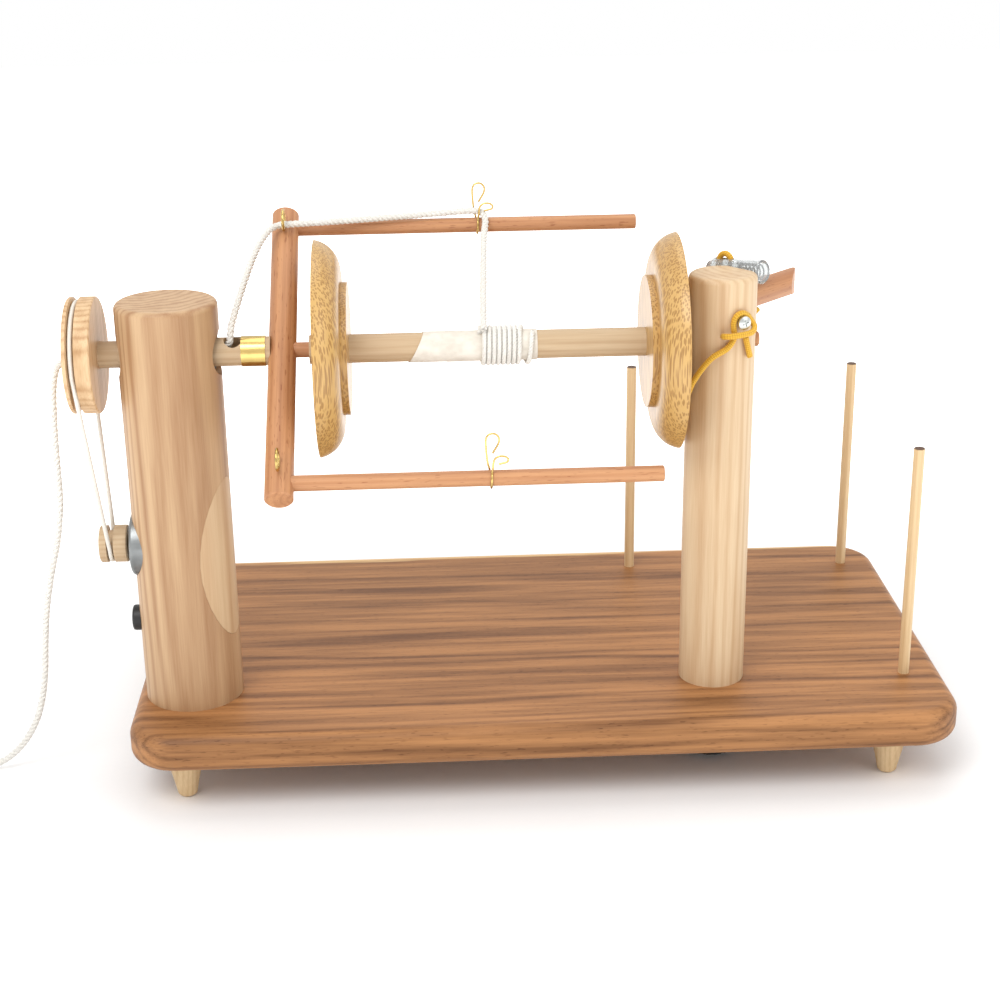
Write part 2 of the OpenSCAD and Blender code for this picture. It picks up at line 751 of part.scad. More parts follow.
module dc_inlet() {
    color(black)
    difference() {
        union() {
            translate([inlet_x, inlet_seat_y + 1.6, inlet_z]) rotate([90, 0, 0])
                cylinder(h = 1.6, r = inlet_r + 2);
            translate([inlet_x, inlet_seat_y + past, inlet_z]) rotate([90, 0, 0])
                cylinder(h = 14 + past, r = inlet_r);
        }
        translate([inlet_x, inlet_seat_y + 1.6 + past, inlet_z]) rotate([90, 0, 0])
            difference() {
                cylinder(h = 10 + past, d = inlet_bore_d);
                translate([0, 0, past + 2]) cylinder(h = 10, r = 1);
            }
    }
}

// Two short leads from the motor's tabs down to the circuit board
lead_wire_d = 1.4;
function lead_route(side) = [
    [motor_back + 2.6, spindle_y + side * 6, motor_z - 1.2],
    [motor_back + 2.6, spindle_y + side * 6, motor_z - 6],
    [motor_back + 2.4, spindle_y + side * 5.6, motor_z - 14],
    [motor_back + 0.4, spindle_y + side * 5, motor_z - 22],
    [motor_back - 8, spindle_y + side * 4.5, motor_z - 26.5],
    [motor_back - 18, spindle_y + side * 4, motor_z - 28],
    [board_x + 8, spindle_y + side * 4, motor_z - 26],
    [board_x + 4.6, spindle_y + side * 4, motor_z - 25]
];
module motor_leads() {
    color(black)
    for (side = [-1, 1]) tube(smooth_route(lead_route(side), 2), lead_wire_d, 6);
}

// Ball bearing: races with a shield set in on each face
module bearing(x0) {
    inner = shaft_d / 2 + run_gap;
    outer = bearing_d / 2;
    set_in = 0.4;
    turned_x([[inner, 0], [inner + 1.5, 0], [inner + 1.5, set_in], [outer - 1.6, set_in],
        [outer - 1.6, 0], [outer, 0], [outer, bearing_w], [outer - 1.6, bearing_w],
        [outer - 1.6, bearing_w - set_in], [inner + 1.5, bearing_w - set_in],
        [inner + 1.5, bearing_w], [inner, bearing_w]], x = x0);
}
module bearing_left() {
    color(steel) bearing(motor_post_x - motor_post_r + bearing_inset);
}
module bearing_right() {
    color(steel) bearing(motor_post_x + motor_post_r - bearing_inset - bearing_w);
}

// Hollow spindle shaft with the yarn's orifice and side hole
shaft_step = motor_post_x - motor_post_r + 1;
module spindle_shaft() {
    saddle = 1.3;
    color(dowel)
    difference() {
        union() {
            rod_x(whorl_left, shaft_step + past, shaft_end_d / 2);
            rod_x(shaft_step, crossbar_x - crossbar_r + saddle, shaft_d / 2);
        }
        rod_x(whorl_left - past, orifice_end, orifice_d / 2);
        rod_x(axle_socket, crossbar_x, axle_r + glue_gap);
        on_flyer(crossbar_x) cylinder(h = 3 * shaft_d, r = crossbar_r + glue_gap, center = true);
        translate([side_hole_x, spindle_y, spindle_z]) rotate([90 - side_hole_rise, 0, 0])
            cylinder(h = shaft_d, d = side_hole_d);
    }
}
module ferrule() {
    color(brass)
    difference() {
        rod_x(ferrule_right - ferrule_length, ferrule_right, shaft_d / 2 + glue_gap + ferrule_wall);
        rod_x(ferrule_right - ferrule_length - past, ferrule_right + past, shaft_d / 2 + glue_gap);
    }
}

// Crossbar with sockets for the arms, a hole for the axle and holes for the eyes
arm_socket = 9.7;
eye_shank_r = 0.9;
eye_shank_in = 5;
module crossbar() {
    color(beech)
    on_flyer(crossbar_x) difference() {
        translate([0, 0, -crossbar_length / 2]) chamfered_rod(crossbar_r, crossbar_length, crossbar_chamfer);
        translate([-crossbar_d, 0, 0]) rotate([0, 90, 0])
            cylinder(h = 2 * crossbar_d, r = axle_r + glue_gap);
        for (side = [-1, 1])
            translate([crossbar_r - arm_socket, 0, side * arm_reach]) rotate([0, 90, 0])
                cylinder(h = crossbar_d, r = arm_d / 2 + glue_gap);
        for (side = [-1, 1])
            translate([0, -crossbar_r - past, side * eye_reach]) rotate([-90, 0, 0])
                cylinder(h = eye_shank_in + past + glue_gap, r = eye_shank_r + glue_gap);
    }
}
module arm(side) {
    start = crossbar_r - arm_socket + glue_gap;
    color(beech)
    on_flyer(crossbar_x) translate([start, 0, side * arm_reach]) rotate([0, 90, 0])
        chamfered_rod(arm_d / 2, arm_length - start, 0.5);
}
module arm_upper() { arm(1); }
module arm_lower() { arm(-1); }
module axle_rod() {
    color(beech)
    translate([axle_socket + glue_gap, spindle_y, spindle_z]) rotate([0, 90, 0])
        chamfered_rod(axle_r, axle_right - axle_socket - glue_gap, 0.8);
}

// Eye screws: a closed ring on a shank, open along X for the yarn
eye_ring_r = (eye_d - eye_wire_d) / 2;
eye_centre = crossbar_r + eye_d / 2 - 0.15;
module eye(side) {
    color(brass)
    on_flyer(crossbar_x) translate([0, 0, side * eye_reach]) {
        translate([0, -eye_centre, 0]) rotate([0, 90, 0]) rotate_extrude()
            translate([eye_ring_r, 0]) circle(d = eye_wire_d, $fn = 32);
        translate([0, -crossbar_r + eye_shank_in, 0]) rotate([90, 0, 0])
            cylinder(h = eye_shank_in + eye_wire_d * 0.6, r = eye_shank_r);
    }
}
module eye_upper() { eye(1); }
module eye_lower() { eye(-1); }

// Sliding hooks: one bent wire round the arm, each end curled into an open loop.
// Points are [along the arm, to the back, up] from the arm's axis.
hook_ring_r = arm_d / 2 + air_gap + hook_wire_d / 2;
hook_ring = [
    for (i = [1 : 11]) let (a = 30 * i) [-0.4 + 1.4 * i / 12, hook_ring_r * sin(a),
        hook_ring_r * cos(a)]
];
hook_loop_long = [
    [1.4, 2.8, 12.0], [3.0, 2.8, 14.6], [4.4, 2.8, 17.2], [4.7, 2.8, 19.6], [3.5, 2.8, 21.6],
    [1.2, 2.8, 22.3], [-1.0, 2.8, 21.2], [-1.9, 2.8, 18.8], [-1.8, 2.8, 14.5],
    [-1.4, 2.8, 9.5], [-0.9, 2.8, 6.2]
];
hook_loop_short = [
    [1.3, -2.8, 6.2], [1.6, -2.8, 9.0], [2.4, -2.8, 11.0], [4.4, -2.8, 12.2],
    [7.2, -2.8, 12.1], [8.9, -2.8, 10.8], [8.4, -2.8, 9.3], [6.2, -2.8, 8.6], [4.2, -2.8, 8.2]
];
hook_route = concat(hook_loop_long, hook_ring, hook_loop_short);
module hook(side, x) {
    arm_y = spindle_y + side * arm_reach * sin(flyer_turn);
    arm_z = spindle_z + side * arm_reach * cos(flyer_turn);
    color(brass)
    translate([crossbar_x + x, arm_y, arm_z]) tube(smooth_route(hook_route, 2), hook_wire_d, 6);
}
module hook_upper() { hook(1, hook_upper_x); }
module hook_lower() { hook(-1, hook_lower_x); }

// Bobbin: a tube, two turned dishes, the brake whorl, paper and wound yarn
module bobbin_tube() {
    color(dowel)
    difference() {
        rod_x(bobbin_left, bobbin_right, bobbin_r);
        rod_x(bobbin_left - past, bobbin_right + past, axle_r + run_gap);
    }
}
module dish_profile() {
    side_y = dish_r - dish_side_r + 0.3;
    difference() {
        union() {
            square([side_y, dish_depth]);
            square([dish_foot_d / 2, dish_depth + dish_foot_h]);
            intersection() {
                translate([side_y, dish_depth - dish_side_r]) circle(r = dish_side_r);
                square([dish_r, dish_depth]);
            }
        }
        translate([0, -past]) square([side_y, dish_hollow + past]);
        intersection() {
            translate([side_y, dish_depth - dish_side_r]) circle(r = dish_inner_side_r);
            translate([0, -past]) square([dish_r, dish_depth]);
        }
        translate([-past, -past])
            square([bobbin_r + glue_gap + past, dish_depth + dish_foot_h + 2 * past]);
    }
}
module dish_left() {
    color(bamboo)
    translate([rim_left, spindle_y, spindle_z]) rotate([0, 90, 0])
        rotate_extrude() dish_profile();
}
module dish_right() {
    color(bamboo)
    translate([rim_right, spindle_y, spindle_z]) rotate([0, -90, 0])
        rotate_extrude() dish_profile();
}
brake_pitch_r = 27;
module brake_whorl() {
    color(dowel)
    grooved_wheel(brake_left, brake_right, brake_whorl_d / 2, brake_groove, brake_pitch_r,
        brake_cord_d, bobbin_r + glue_gap);
}
paper_start = 55.2;
paper_length = 63;
paper_seam = 15.8;
paper_left = bobbin_left + paper_start;
paper_right = paper_left + paper_length;
paper_lean = 27;
module paper_wrap() {
    inner = bobbin_r + glue_gap;
    seam = paper_left + paper_seam;
    color(cotton)
    difference() {
        union() {
            rod_x(paper_left - 10, paper_right, inner + paper_t);
            rod_x(seam, seam + 8, inner + 1.3 * paper_t);
        }
        rod_x(paper_left - 20, paper_right + past, inner);
        translate([paper_left, spindle_y, spindle_z]) rotate([0, paper_lean, 0])
            translate([-40, -20, -30]) cube([40, 40, 60]);
    }
}

// Wound yarn: close turns, then one wide turn to the loose end
wound_start = bobbin_left + 88.3;
wound_rings = 24;
wound_wide = 6.6;
wound_r = bobbin_r + glue_gap + paper_t + air_gap + wound_d / 2;
function wound_x(turn) = wound_start + wound_pitch * min(turn, wound_turns)
    + wound_wide * max(0, turn - wound_turns);
wound_turn_points = [
    for (i = [0 : wound_rings * (wound_turns + 1)]) let (a = 120 - 360 * i / wound_rings)
        [wound_x(i / wound_rings), spindle_y + wound_r * cos(a), spindle_z + wound_r * sin(a)]
];
function with_straight_ends(p, d) = concat(
    [p[0] + unit(p[0] - p[1]) * d], p,
    [p[len(p) - 1] + unit(p[len(p) - 1] - p[len(p) - 2]) * d]
);
wound_points = with_straight_ends(wound_turn_points, wound_d);
echo(least_gap_of_wound_yarn = own_gap(wound_points, wound_d, wound_rings / 2));
module yarn_winding() {
    color(cotton) tube(wound_points, wound_d, 6);
}

// Yarn on the flyer: from the orifice, out of the side hole, through the eye and the hook.
// The points are counted from where the crossbar's axis meets the spindle's.
flyer_middle = [crossbar_x, spindle_y, spindle_z];
yarn_flyer_points = [
    [-108.5, 0, -2.9], [-104.5, 0, -2.9], [-90.5, 0, -2.9], [-75.5, 0, -2.9],
    [-60.5, 0, -2.8], [-47.5, 0, -2.4], [-38.5, -0.2, -1.2], [-31.5, -0.4, 1],
    [-27.2, -1.7, 4.9], [-26.2, -2.9, 9.2], [-25.2, -2, 14.8], [-21.5, 7.2, 25.8],
    [-17, 22.2, 37.8], [-12.5, 38.2, 46.8], [-8, 49.7, 51.8], [-3.5, 54.6, 53.6],
    [0, 55.8, 54], [4.5, 56.2, 54.1], [16.5, 57.6, 54.3], [38.5, 60.2, 54.8],
    [64.5, 63.4, 55.6], [86.5, 66, 56.4], [98.5, 67.1, 56.9], [103.5, 67.3, 56.8],
    [106.3, 67, 56.3], [108.1, 65.2, 54.9], [108.8, 62.2, 52.2], [108.3, 58.8, 49.4],
    [107.3, 50.2, 44], [106.1, 29.2, 31.5], [104.9, 4.2, 16.9], [104.5, -7.1, 10.6]
];
module yarn_flyer() {
    color(cotton) translate(flyer_middle) tube(smooth_route(yarn_flyer_points, 2), yarn_d, 8);
}

// Supply yarn: from the orifice down to the floor, then away to its coil.
// The points are counted from the orifice, but from the floor in height.
orifice = [whorl_left, spindle_y, 0];
coil_x = whorl_left - 109;
coil_y = spindle_y + 24.2;
coil_step = supply_d + 0.5;
layer_turns = coil_turns / 2 - 0.25;
coil_outer_r = coil_d / 2 + coil_step * layer_turns / 2;
coil_inner_r = coil_outer_r - coil_step * layer_turns;
coil_low = supply_d / 2 + 0.1;
coil_high = coil_low + coil_step;
coil_rings = 24;
coil_count = coil_rings * coil_turns;
function coil_r(turn) = turn < layer_turns ? coil_outer_r - coil_step * turn
    : turn < layer_turns + 0.5 ? coil_inner_r - 0.8 * sin(360 * (turn - layer_turns))
    : coil_inner_r + coil_step * (turn - layer_turns - 0.5);
function coil_z(turn) = turn < layer_turns ? coil_low
    : turn < layer_turns + 0.5 ? coil_low + coil_step * (turn - layer_turns) * 2
    : coil_high;
coil_turn_points = [
    for (i = [0 : coil_count]) let (turn = i / coil_rings, a = -90 - 360 * turn)
        [coil_x + coil_r(turn) * cos(a), coil_y + coil_r(turn) * sin(a), coil_z(turn)]
];
coil_points = with_straight_ends(coil_turn_points, supply_d);
echo(least_gap_of_coil = own_gap(coil_points, supply_d, coil_rings / 2));
module yarn_coil() {
    color(cotton) tube(coil_points, supply_d, 6);
}
yarn_lead_points = [
    [0, 0, 238.3], [-2, 0, 238.3], [-4, 0, 238.3], [-7.5, -0.4, 236], [-9.6, -0.8, 231.5],
    [-11.2, -0.8, 223], [-12.2, -0.8, 210], [-12.9, -0.8, 195], [-13.2, -0.8, 178],
    [-13.8, -0.8, 160], [-17, -0.8, 140], [-22, -0.8, 121], [-26.5, -0.8, 101],
    [-29.4, -0.8, 81], [-31.6, -0.8, 61], [-35, -0.4, 44], [-40, 0.2, 30], [-48, 1, 17],
    [-58, 1.2, 7.5], [-69, 0.2, 3], [-81, -4.8, 2]
];
coil_inlet = unit(coil_points[0] - coil_points[1]);
lead_to_coil = [for (away = [12, 6, 0]) coil_points[0] + away * coil_inlet];
lead_route_down = [for (q = yarn_lead_points) orifice + q];
module yarn_lead() {
    color(cotton)
    tube(smooth_route(concat(lead_route_down, lead_to_coil), 2), supply_d, 8);
}

// Support post with the axle's bush, the brake and the clamp's insert
peg_turn = [cos(tension_peg_turn), sin(tension_peg_turn), 0];
tension_peg_z = board_top + tension_peg_height;
brake_screw_turn = -68.5;
brake_screw_z = board_top + brake_screw_height;
bush_wall = 2;
bush_set_in = 1.2;
insert_r = clamp_bolt_d / 2 + run_gap + insert_wall;
module from_post_axis(turn, z) {
    translate([support_post_x, spindle_y, z]) rotate([0, 0, turn]) rotate([0, 90, 0]) children();
}
module support_post() {
    color(pine)
    difference() {
        translate([support_post_x, spindle_y, board_top])
            column(support_post_r, support_post_height);
        rod_x(support_post_x - support_post_r - past, support_post_x + support_post_r + past,
            axle_r + run_gap + bush_wall + glue_gap);
        translate([support_post_x, spindle_y, board_top + support_post_height - post_flat_height])
            rotate([0, 0, post_flat_turn]) translate([post_flat_reach, -support_post_d, 0])
                cube([support_post_d, 2 * support_post_d, post_flat_height + past]);
        from_post_axis(tension_peg_turn, tension_peg_z)
            cylinder(h = support_post_d, d = tension_peg_d + 2 * glue_gap);
        from_post_axis(brake_screw_turn, brake_screw_z)
            translate([0, 0, support_post_r - brake_screw_length - air_gap])
                cylinder(h = brake_screw_length + 5, d = brake_screw_d + 2 * glue_gap);
        translate([support_post_x, spindle_y, board_top - past])
            cylinder(h = insert_length + past, r = insert_r + glue_gap);
        translate([support_post_x, spindle_y, board_top])
            cylinder(h = insert_length + 5, d = clamp_bolt_d + 2 * air_gap);
    }
}
module axle_bush() {
    color(brass)
    difference() {
        rod_x(support_post_x - support_post_r + bush_set_in,
            support_post_x + support_post_r - bush_set_in, axle_r + run_gap + bush_wall);
        rod_x(support_post_x - support_post_r, support_post_x + support_post_r,
            axle_r + run_gap);
    }
}
module threaded_insert() {
    color(brass)
    translate([support_post_x, spindle_y, board_top]) difference() {
        cylinder(h = insert_length, r = insert_r);
        translate([0, 0, -past])
            cylinder(h = insert_length + 2 * past, d = clamp_bolt_d + 2 * run_gap);
    }
}

// Tension peg: a round peg with its end cut off aslant
module tension_peg() {
    bevel = 62;
    color(beech)
    from_post_axis(tension_peg_turn, tension_peg_z) difference() {
        translate([0, 0, 1]) chamfered_rod(tension_peg_d / 2, tension_peg_reach - 1, 0.6);
        translate([0, 0, tension_peg_reach]) rotate([bevel, 0, 0])
            translate([-tension_peg_d, -2 * tension_peg_d, 0])
                cube([2 * tension_peg_d, 4 * tension_peg_d, 4 * tension_peg_d]);
    }
}

// Brake screw with a domed cross head, standing off the post for the cord's loop
screw_stand = brake_cord_d + 2 * air_gap;
module brake_screw() {
    head_r = brake_screw_head_d / 2;
    head_h = 2.2;
    color(steel)
    from_post_axis(brake_screw_turn, brake_screw_z) translate([0, 0, support_post_r])
        difference() {
            union() {
                translate([0, 0, -brake_screw_length])
                    cylinder(h = brake_screw_length + screw_stand + past, d = brake_screw_d);
                translate([0, 0, screw_stand]) intersection() {
                    cylinder(h = head_h, r = head_r);
                    translate([0, 0, head_h - 2 * head_r]) sphere(r = 2 * head_r);
                }
            }
            for (turn = [20, 110])
                rotate([0, 0, turn]) translate([-1.8, -0.4, screw_stand + head_h - 1])
                    cube([3.6, 0.8, past + 1]);
        }
}

// Brake cord. The knot's points are [direction, height, distance from the post's surface],
// and the free run's points are counted from where the post's axis meets the spindle's.
post_middle = [support_post_x, spindle_y, spindle_z];
function off_post(q) = [
    support_post_x + (support_post_r + q[2]) * cos(q[0]),
    spindle_y + (support_post_r + q[2]) * sin(q[0]), q[1]
];
knot_points = [
    [-97, 248.4, 2.4], [-95.5, 249, 4.8], [-89, 249.2, 5.8], [-80, 249.5, 5.9],
    [-69, 249.8, 5.9], [-58, 250.4, 5.7], [-50.5, 252.4, 4.4], [-49.4, 254.2, 2.7],
    [-53.6, 256.6, 2], [-59.6, 258.8, 1.9], [-68.5, 260, 1.9], [-77.4, 258.7, 1.9],
    [-81.4, 255.5, 1.9], [-81.2, 252, 1.9], [-79.6, 248.8, 1.9], [-82.5, 245.4, 1.9],
    [-92, 241.4, 2]
];
brake_cord_points = [
    [-7.7, -20.6, -3.8], [-13.1, -18.8, -10.8], [-16.9, -16.4, -18.2], [-18.5, -14, -23.8],
    [-19.8, -12.2, -27.8], [-22.1, -10, -29.3], [-24.3, -7.1, -28.4], [-25.2, -3.6, -27],
    [-25.2, 0, -27], [-25.2, 3.6, -26.8], [-24.3, 7.2, -28.2], [-22.1, 10.2, -29.3],
    [-19.8, 12.4, -27.8], [-18.1, 14.8, -23.2], [-15.7, 18.6, -16.2], [-11.7, 22.8, -7.2],
    [-6.3, 26.2, 3.8], [-0.6, 26.6, 14.8], [3.1, 25.9, 23.8], [2.6, 26.4, 31.1],
    [2.2, 26.7, 35.8], [3, 26, 38.8], [5, 24, 40.2], [7, 22, 38.8],
    [7.8, 21.2, 36.2], [8, 20.9, 31.8], [8.2, 20.7, 22.8], [8.4, 20.4, 16.3],
    [10.3, 18.7, 11.4], [13.7, 15.2, 9.3], [17.7, 11.2, 10.2], [20.3, 8.6, 13.8]
];
cord_tail_points = [
    [-60.5, 247.2, 1.9], [-58.5, 244.6, 1.9], [-54.5, 240.4, 1.9], [-50, 236, 1.9]
];
knot_route = [for (q = knot_points) off_post(q)];
brake_route = concat(knot_route, [for (q = brake_cord_points) post_middle + q]);
module brake_cord() {
    color(yellow) {
        tube(smooth_route(brake_route, 2), brake_cord_d, 8);
        tube(smooth_route([for (q = cord_tail_points) off_post(q)], 2), brake_cord_d, 8);
    }
}

// Cord lock: a clear barrel across the peg, with a plunger pushed out by a spring.
// Its own Z runs along the barrel, from the plunger's end to the closed end.
lock_left = 20.5;
lock_right = 11.5;
lock_slot_mid = -13.1;
lock_slot_half = 3.9;
lock_slot_w = brake_cord_d + 1;
lock_bore_r = lock_plunger_d / 2 + run_gap;
plunger_end = -3.4;
plunger_out = 3;
spring_wire_d = 0.9;
spring_curls = 5;
lock_cross = 20.4;
lock_tilt = 5.6;
lock_z = tension_peg_z + tension_peg_d / 2 + lock_d / 2 + 0.3;
module on_lock() {
    translate([support_post_x, spindle_y, lock_z] + lock_cross * peg_turn)
        rotate([0, 0, tension_peg_turn - 90]) rotate([0, 90 - lock_tilt, 0]) children();
}
module cord_slot(from, to, height) {
    half_w = lock_slot_w / 2;
    for (z = [from, to])
        translate([-height, 0, z]) rotate([0, 90, 0]) cylinder(h = 2 * height, r = half_w);
    translate([-height, -half_w, from]) cube([2 * height, lock_slot_w, to - from]);
}
module lock_barrel() {
    color(clear)
    on_lock() difference() {
        translate([0, 0, -lock_left]) chamfered_rod(lock_d / 2, lock_left + lock_right, 1);
        translate([0, 0, -lock_left - past])
            cylinder(h = lock_left + lock_right - 1.8 + past, r = lock_bore_r);
        cord_slot(lock_slot_mid - lock_slot_half, lock_slot_mid + lock_slot_half, lock_d);
    }
}
module lock_plunger() {
    color(clear)
    on_lock() difference() {
        translate([0, 0, -lock_left - plunger_out])
            chamfered_rod(lock_plunger_d / 2, lock_left + plunger_out + plunger_end, 0.6);
        cord_slot(lock_slot_mid - lock_slot_half - lock_travel, lock_slot_mid + lock_slot_half,
            lock_d);
    }
}
spring_r = lock_bore_r - air_gap - spring_wire_d / 2 - 0.1;
spring_from = plunger_end + air_gap + spring_wire_d / 2;
spring_to = lock_right - 1.8 - air_gap - spring_wire_d / 2;
spring_points = [
    for (i = [0 : 8 * spring_curls]) let (a = 45 * i, u = i / (8 * spring_curls))
        [spring_r * cos(a), spring_r * sin(a), spring_from + (spring_to - spring_from) * u]
];
module lock_spring() {
    color(steel) on_lock() tube(spring_points, spring_wire_d, 6);
}

// Three loose yarn pegs in the board
yarn_peg_places = [
    [board_right - peg_inset_right, board_front + peg_inset_front],
    [board_right - peg_inset_right, board_back - peg_inset_back],
    [board_right - peg_mid_inset_right, board_back - peg_mid_inset_back]
];
peg_shoulder = 0.5;
peg_tenon_d = peg_d - 2 * peg_shoulder;
module yarn_peg(place) {
    r = peg_d / 2;
    c = 0.3;
    tenon_r = peg_tenon_d / 2;
    color(dowel)
    translate([place.x, place.y, board_top]) rotate_extrude()
        polygon([[0, -peg_depth], [tenon_r, -peg_depth], [tenon_r, glue_gap], [r, glue_gap],
            [r, peg_height - c], [r - c, peg_height], [0, peg_height]]);
}
module yarn_peg_front() { yarn_peg(yarn_peg_places[0]); }
module yarn_peg_back_right() { yarn_peg(yarn_peg_places[1]); }
module yarn_peg_back_mid() { yarn_peg(yarn_peg_places[2]); }

// Clamp under the board that pulls the support post down
clamp_top = foot_height - air_gap;
clamp_neck_r = 9;
clamp_grip_top = clamp_top - 6;
module clamp_knob() {
    lobes = 8;
    grip_r = clamp_knob_d / 2;
    color(black)
    translate([support_post_x, spindle_y, 0]) difference() {
        union() {
            translate([0, 0, clamp_grip_top - clamp_knob_h])
                chamfered_rod(grip_r, clamp_knob_h, 1.5);
            translate([0, 0, clamp_grip_top - past])
                cylinder(h = clamp_top - clamp_grip_top + past, r = clamp_neck_r);
        }
        translate([0, 0, clamp_grip_top - clamp_knob_h + 4])
            cylinder(h = foot_height, d = clamp_bolt_d + 2 * glue_gap);
        for (i = [0 : lobes - 1])
            rotate([0, 0, 360 * (i + 0.5) / lobes])
                translate([grip_r + 1.6, 0, clamp_grip_top - clamp_knob_h - past])
                    cylinder(h = clamp_knob_h + 2 * past, r = 3.4);
    }
}
module clamp_bolt() {
    from = clamp_grip_top - clamp_knob_h + 4;
    color(steel)
    translate([support_post_x, spindle_y, from])
        chamfered_rod(clamp_bolt_d / 2, board_top + insert_length + 2 - from, 0.6);
}

base_board();
foot_front_left();
foot_front_right();
foot_back_left();
foot_back_right();
motor_post();
access_cover();
post_screws();
motor_can();
motor_leads();
potentiometer();
control_board();
dc_inlet();
bearing_left();
bearing_right();
drive_belt();
support_post();
axle_bush();
threaded_insert();
brake_screw();
brake_cord();
tension_peg();
lock_barrel();
lock_spring();
lock_plunger();
yarn_peg_front();
yarn_peg_back_right();
yarn_peg_back_mid();
clamp_knob();
clamp_bolt();
speed_knob();
motor_shaft();
motor_rotor();
drive_pulley();
spindle_shaft();
flyer_whorl();
ferrule();
crossbar();
arm_upper();
arm_lower();
axle_rod();
eye_upper();
eye_lower();
hook_upper();
hook_lower();
bobbin_tube();
dish_left();
dish_right();
brake_whorl();
paper_wrap();
yarn_winding();
yarn_flyer();
yarn_lead();
yarn_coil();
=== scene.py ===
"""Dresses the plying machine: woods, metals, plied yarn, braided brake cord, belt and paper."""

import math

import bpy
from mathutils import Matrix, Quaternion, Vector


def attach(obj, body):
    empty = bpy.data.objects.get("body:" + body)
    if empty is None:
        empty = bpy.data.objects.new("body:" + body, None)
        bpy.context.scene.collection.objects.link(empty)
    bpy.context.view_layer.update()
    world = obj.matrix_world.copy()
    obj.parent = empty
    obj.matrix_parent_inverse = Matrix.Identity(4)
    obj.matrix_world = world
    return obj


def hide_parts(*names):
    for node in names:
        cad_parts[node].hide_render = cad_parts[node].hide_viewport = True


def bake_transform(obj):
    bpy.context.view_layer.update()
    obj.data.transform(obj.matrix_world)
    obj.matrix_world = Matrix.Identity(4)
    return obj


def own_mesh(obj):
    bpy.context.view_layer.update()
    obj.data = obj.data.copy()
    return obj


MM = 0.001

# The frame's main places, in millimetres
SPINDLE_Y = -53.883
SPINDLE_Z = 241.2
ORIFICE_X = -234.0
CROSSBAR_X = -125.5
MOTOR_POST = Vector((-184.0, SPINDLE_Y, 0))
SUPPORT_POST = Vector((103.7, SPINDLE_Y, 0))
SUPPORT_POST_R = 17.9
FLYER_TURN = math.radians(54)

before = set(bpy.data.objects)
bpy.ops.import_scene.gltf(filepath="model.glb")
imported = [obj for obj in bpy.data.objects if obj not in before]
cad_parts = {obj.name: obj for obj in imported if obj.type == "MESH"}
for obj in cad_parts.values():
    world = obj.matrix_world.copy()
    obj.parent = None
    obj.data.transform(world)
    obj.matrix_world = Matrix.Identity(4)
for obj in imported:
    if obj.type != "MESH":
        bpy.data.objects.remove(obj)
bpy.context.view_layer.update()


# Camera at the photograph's viewpoint
CAMERA_PLACE = Vector((-52.9, -972.583, 503.6)) * MM
CAMERA_YAW = math.radians(2.459)
CAMERA_PITCH = math.radians(20.782)
CAMERA_ROLL = math.radians(0.749)
FOCAL_PIXELS = 1825.93
PICTURE_PIXELS = 1000
SENSOR = 36.0


def make_camera():
    camera = bpy.data.objects.new("camera", bpy.data.cameras.new("camera"))
    bpy.context.scene.collection.objects.link(camera)
    forward = Vector((
        math.sin(CAMERA_YAW) * math.cos(CAMERA_PITCH),
        math.cos(CAMERA_YAW) * math.cos(CAMERA_PITCH),
        -math.sin(CAMERA_PITCH),
    ))
    turn = Quaternion(forward, CAMERA_ROLL)
    camera.rotation_mode = "QUATERNION"
    camera.rotation_quaternion = turn @ forward.to_track_quat("-Z", "Y")
    camera.location = CAMERA_PLACE
    camera.data.sensor_width = SENSOR
    camera.data.sensor_fit = "HORIZONTAL"
    camera.data.lens = FOCAL_PIXELS / PICTURE_PIXELS * SENSOR
    camera.data.clip_start = 0.01
    bpy.context.scene.camera = camera


make_camera()


# Routes of the cords and yarns, the same points as the CAD's, in millimetres
def spline(points, steps):
    """Smooth curve through the points, with a number of steps between two of them."""
    last = len(points) - 1
    out = []
    for i in range(last):
        a, b, c, d = (points[max(0, min(last, i + k))] for k in (-1, 0, 1, 2))
        for k in range(steps):
            u = k / steps
            out.append(0.5 * (
                2 * b + (c - a) * u + (2 * a - 5 * b + 4 * c - d) * u * u
                + (3 * b - a - 3 * c + d) * u ** 3
            ))
    out.append(points[last])
    return out


def from_point(origin, offsets):
    return [Vector(origin) + Vector(q) for q in offsets]


def off_post(direction, height, distance):
    """Point at a distance from the support post's surface."""
    a = math.radians(direction)
    reach = SUPPORT_POST_R + distance
    return Vector((
        SUPPORT_POST.x + reach * math.cos(a), SPINDLE_Y + reach * math.sin(a), height))


SUPPLY_D = 3.8
COIL_TURNS = 8
COIL_STEP = SUPPLY_D + 0.5
COIL_RINGS = 48
COIL_CENTRE = Vector((ORIFICE_X - 109, SPINDLE_Y + 24.2, 0))
LAYER_TURNS = COIL_TURNS / 2 - 0.25
COIL_OUTER = 21 + COIL_STEP * LAYER_TURNS / 2
COIL_INNER = COIL_OUTER - COIL_STEP * LAYER_TURNS
COIL_LOW = SUPPLY_D / 2 + 0.1


def coil_point(turn):
    climb = turn - LAYER_TURNS
    if climb < 0:
        r, z = COIL_OUTER - COIL_STEP * turn, COIL_LOW
    elif climb < 0.5:
        r = COIL_INNER - 0.8 * math.sin(2 * math.pi * climb)
        z = COIL_LOW + 2 * COIL_STEP * climb
    else:
        r, z = COIL_INNER + COIL_STEP * (climb - 0.5), COIL_LOW + COIL_STEP
    a = -math.pi / 2 - 2 * math.pi * turn
    return COIL_CENTRE + Vector((r * math.cos(a), r * math.sin(a), z))


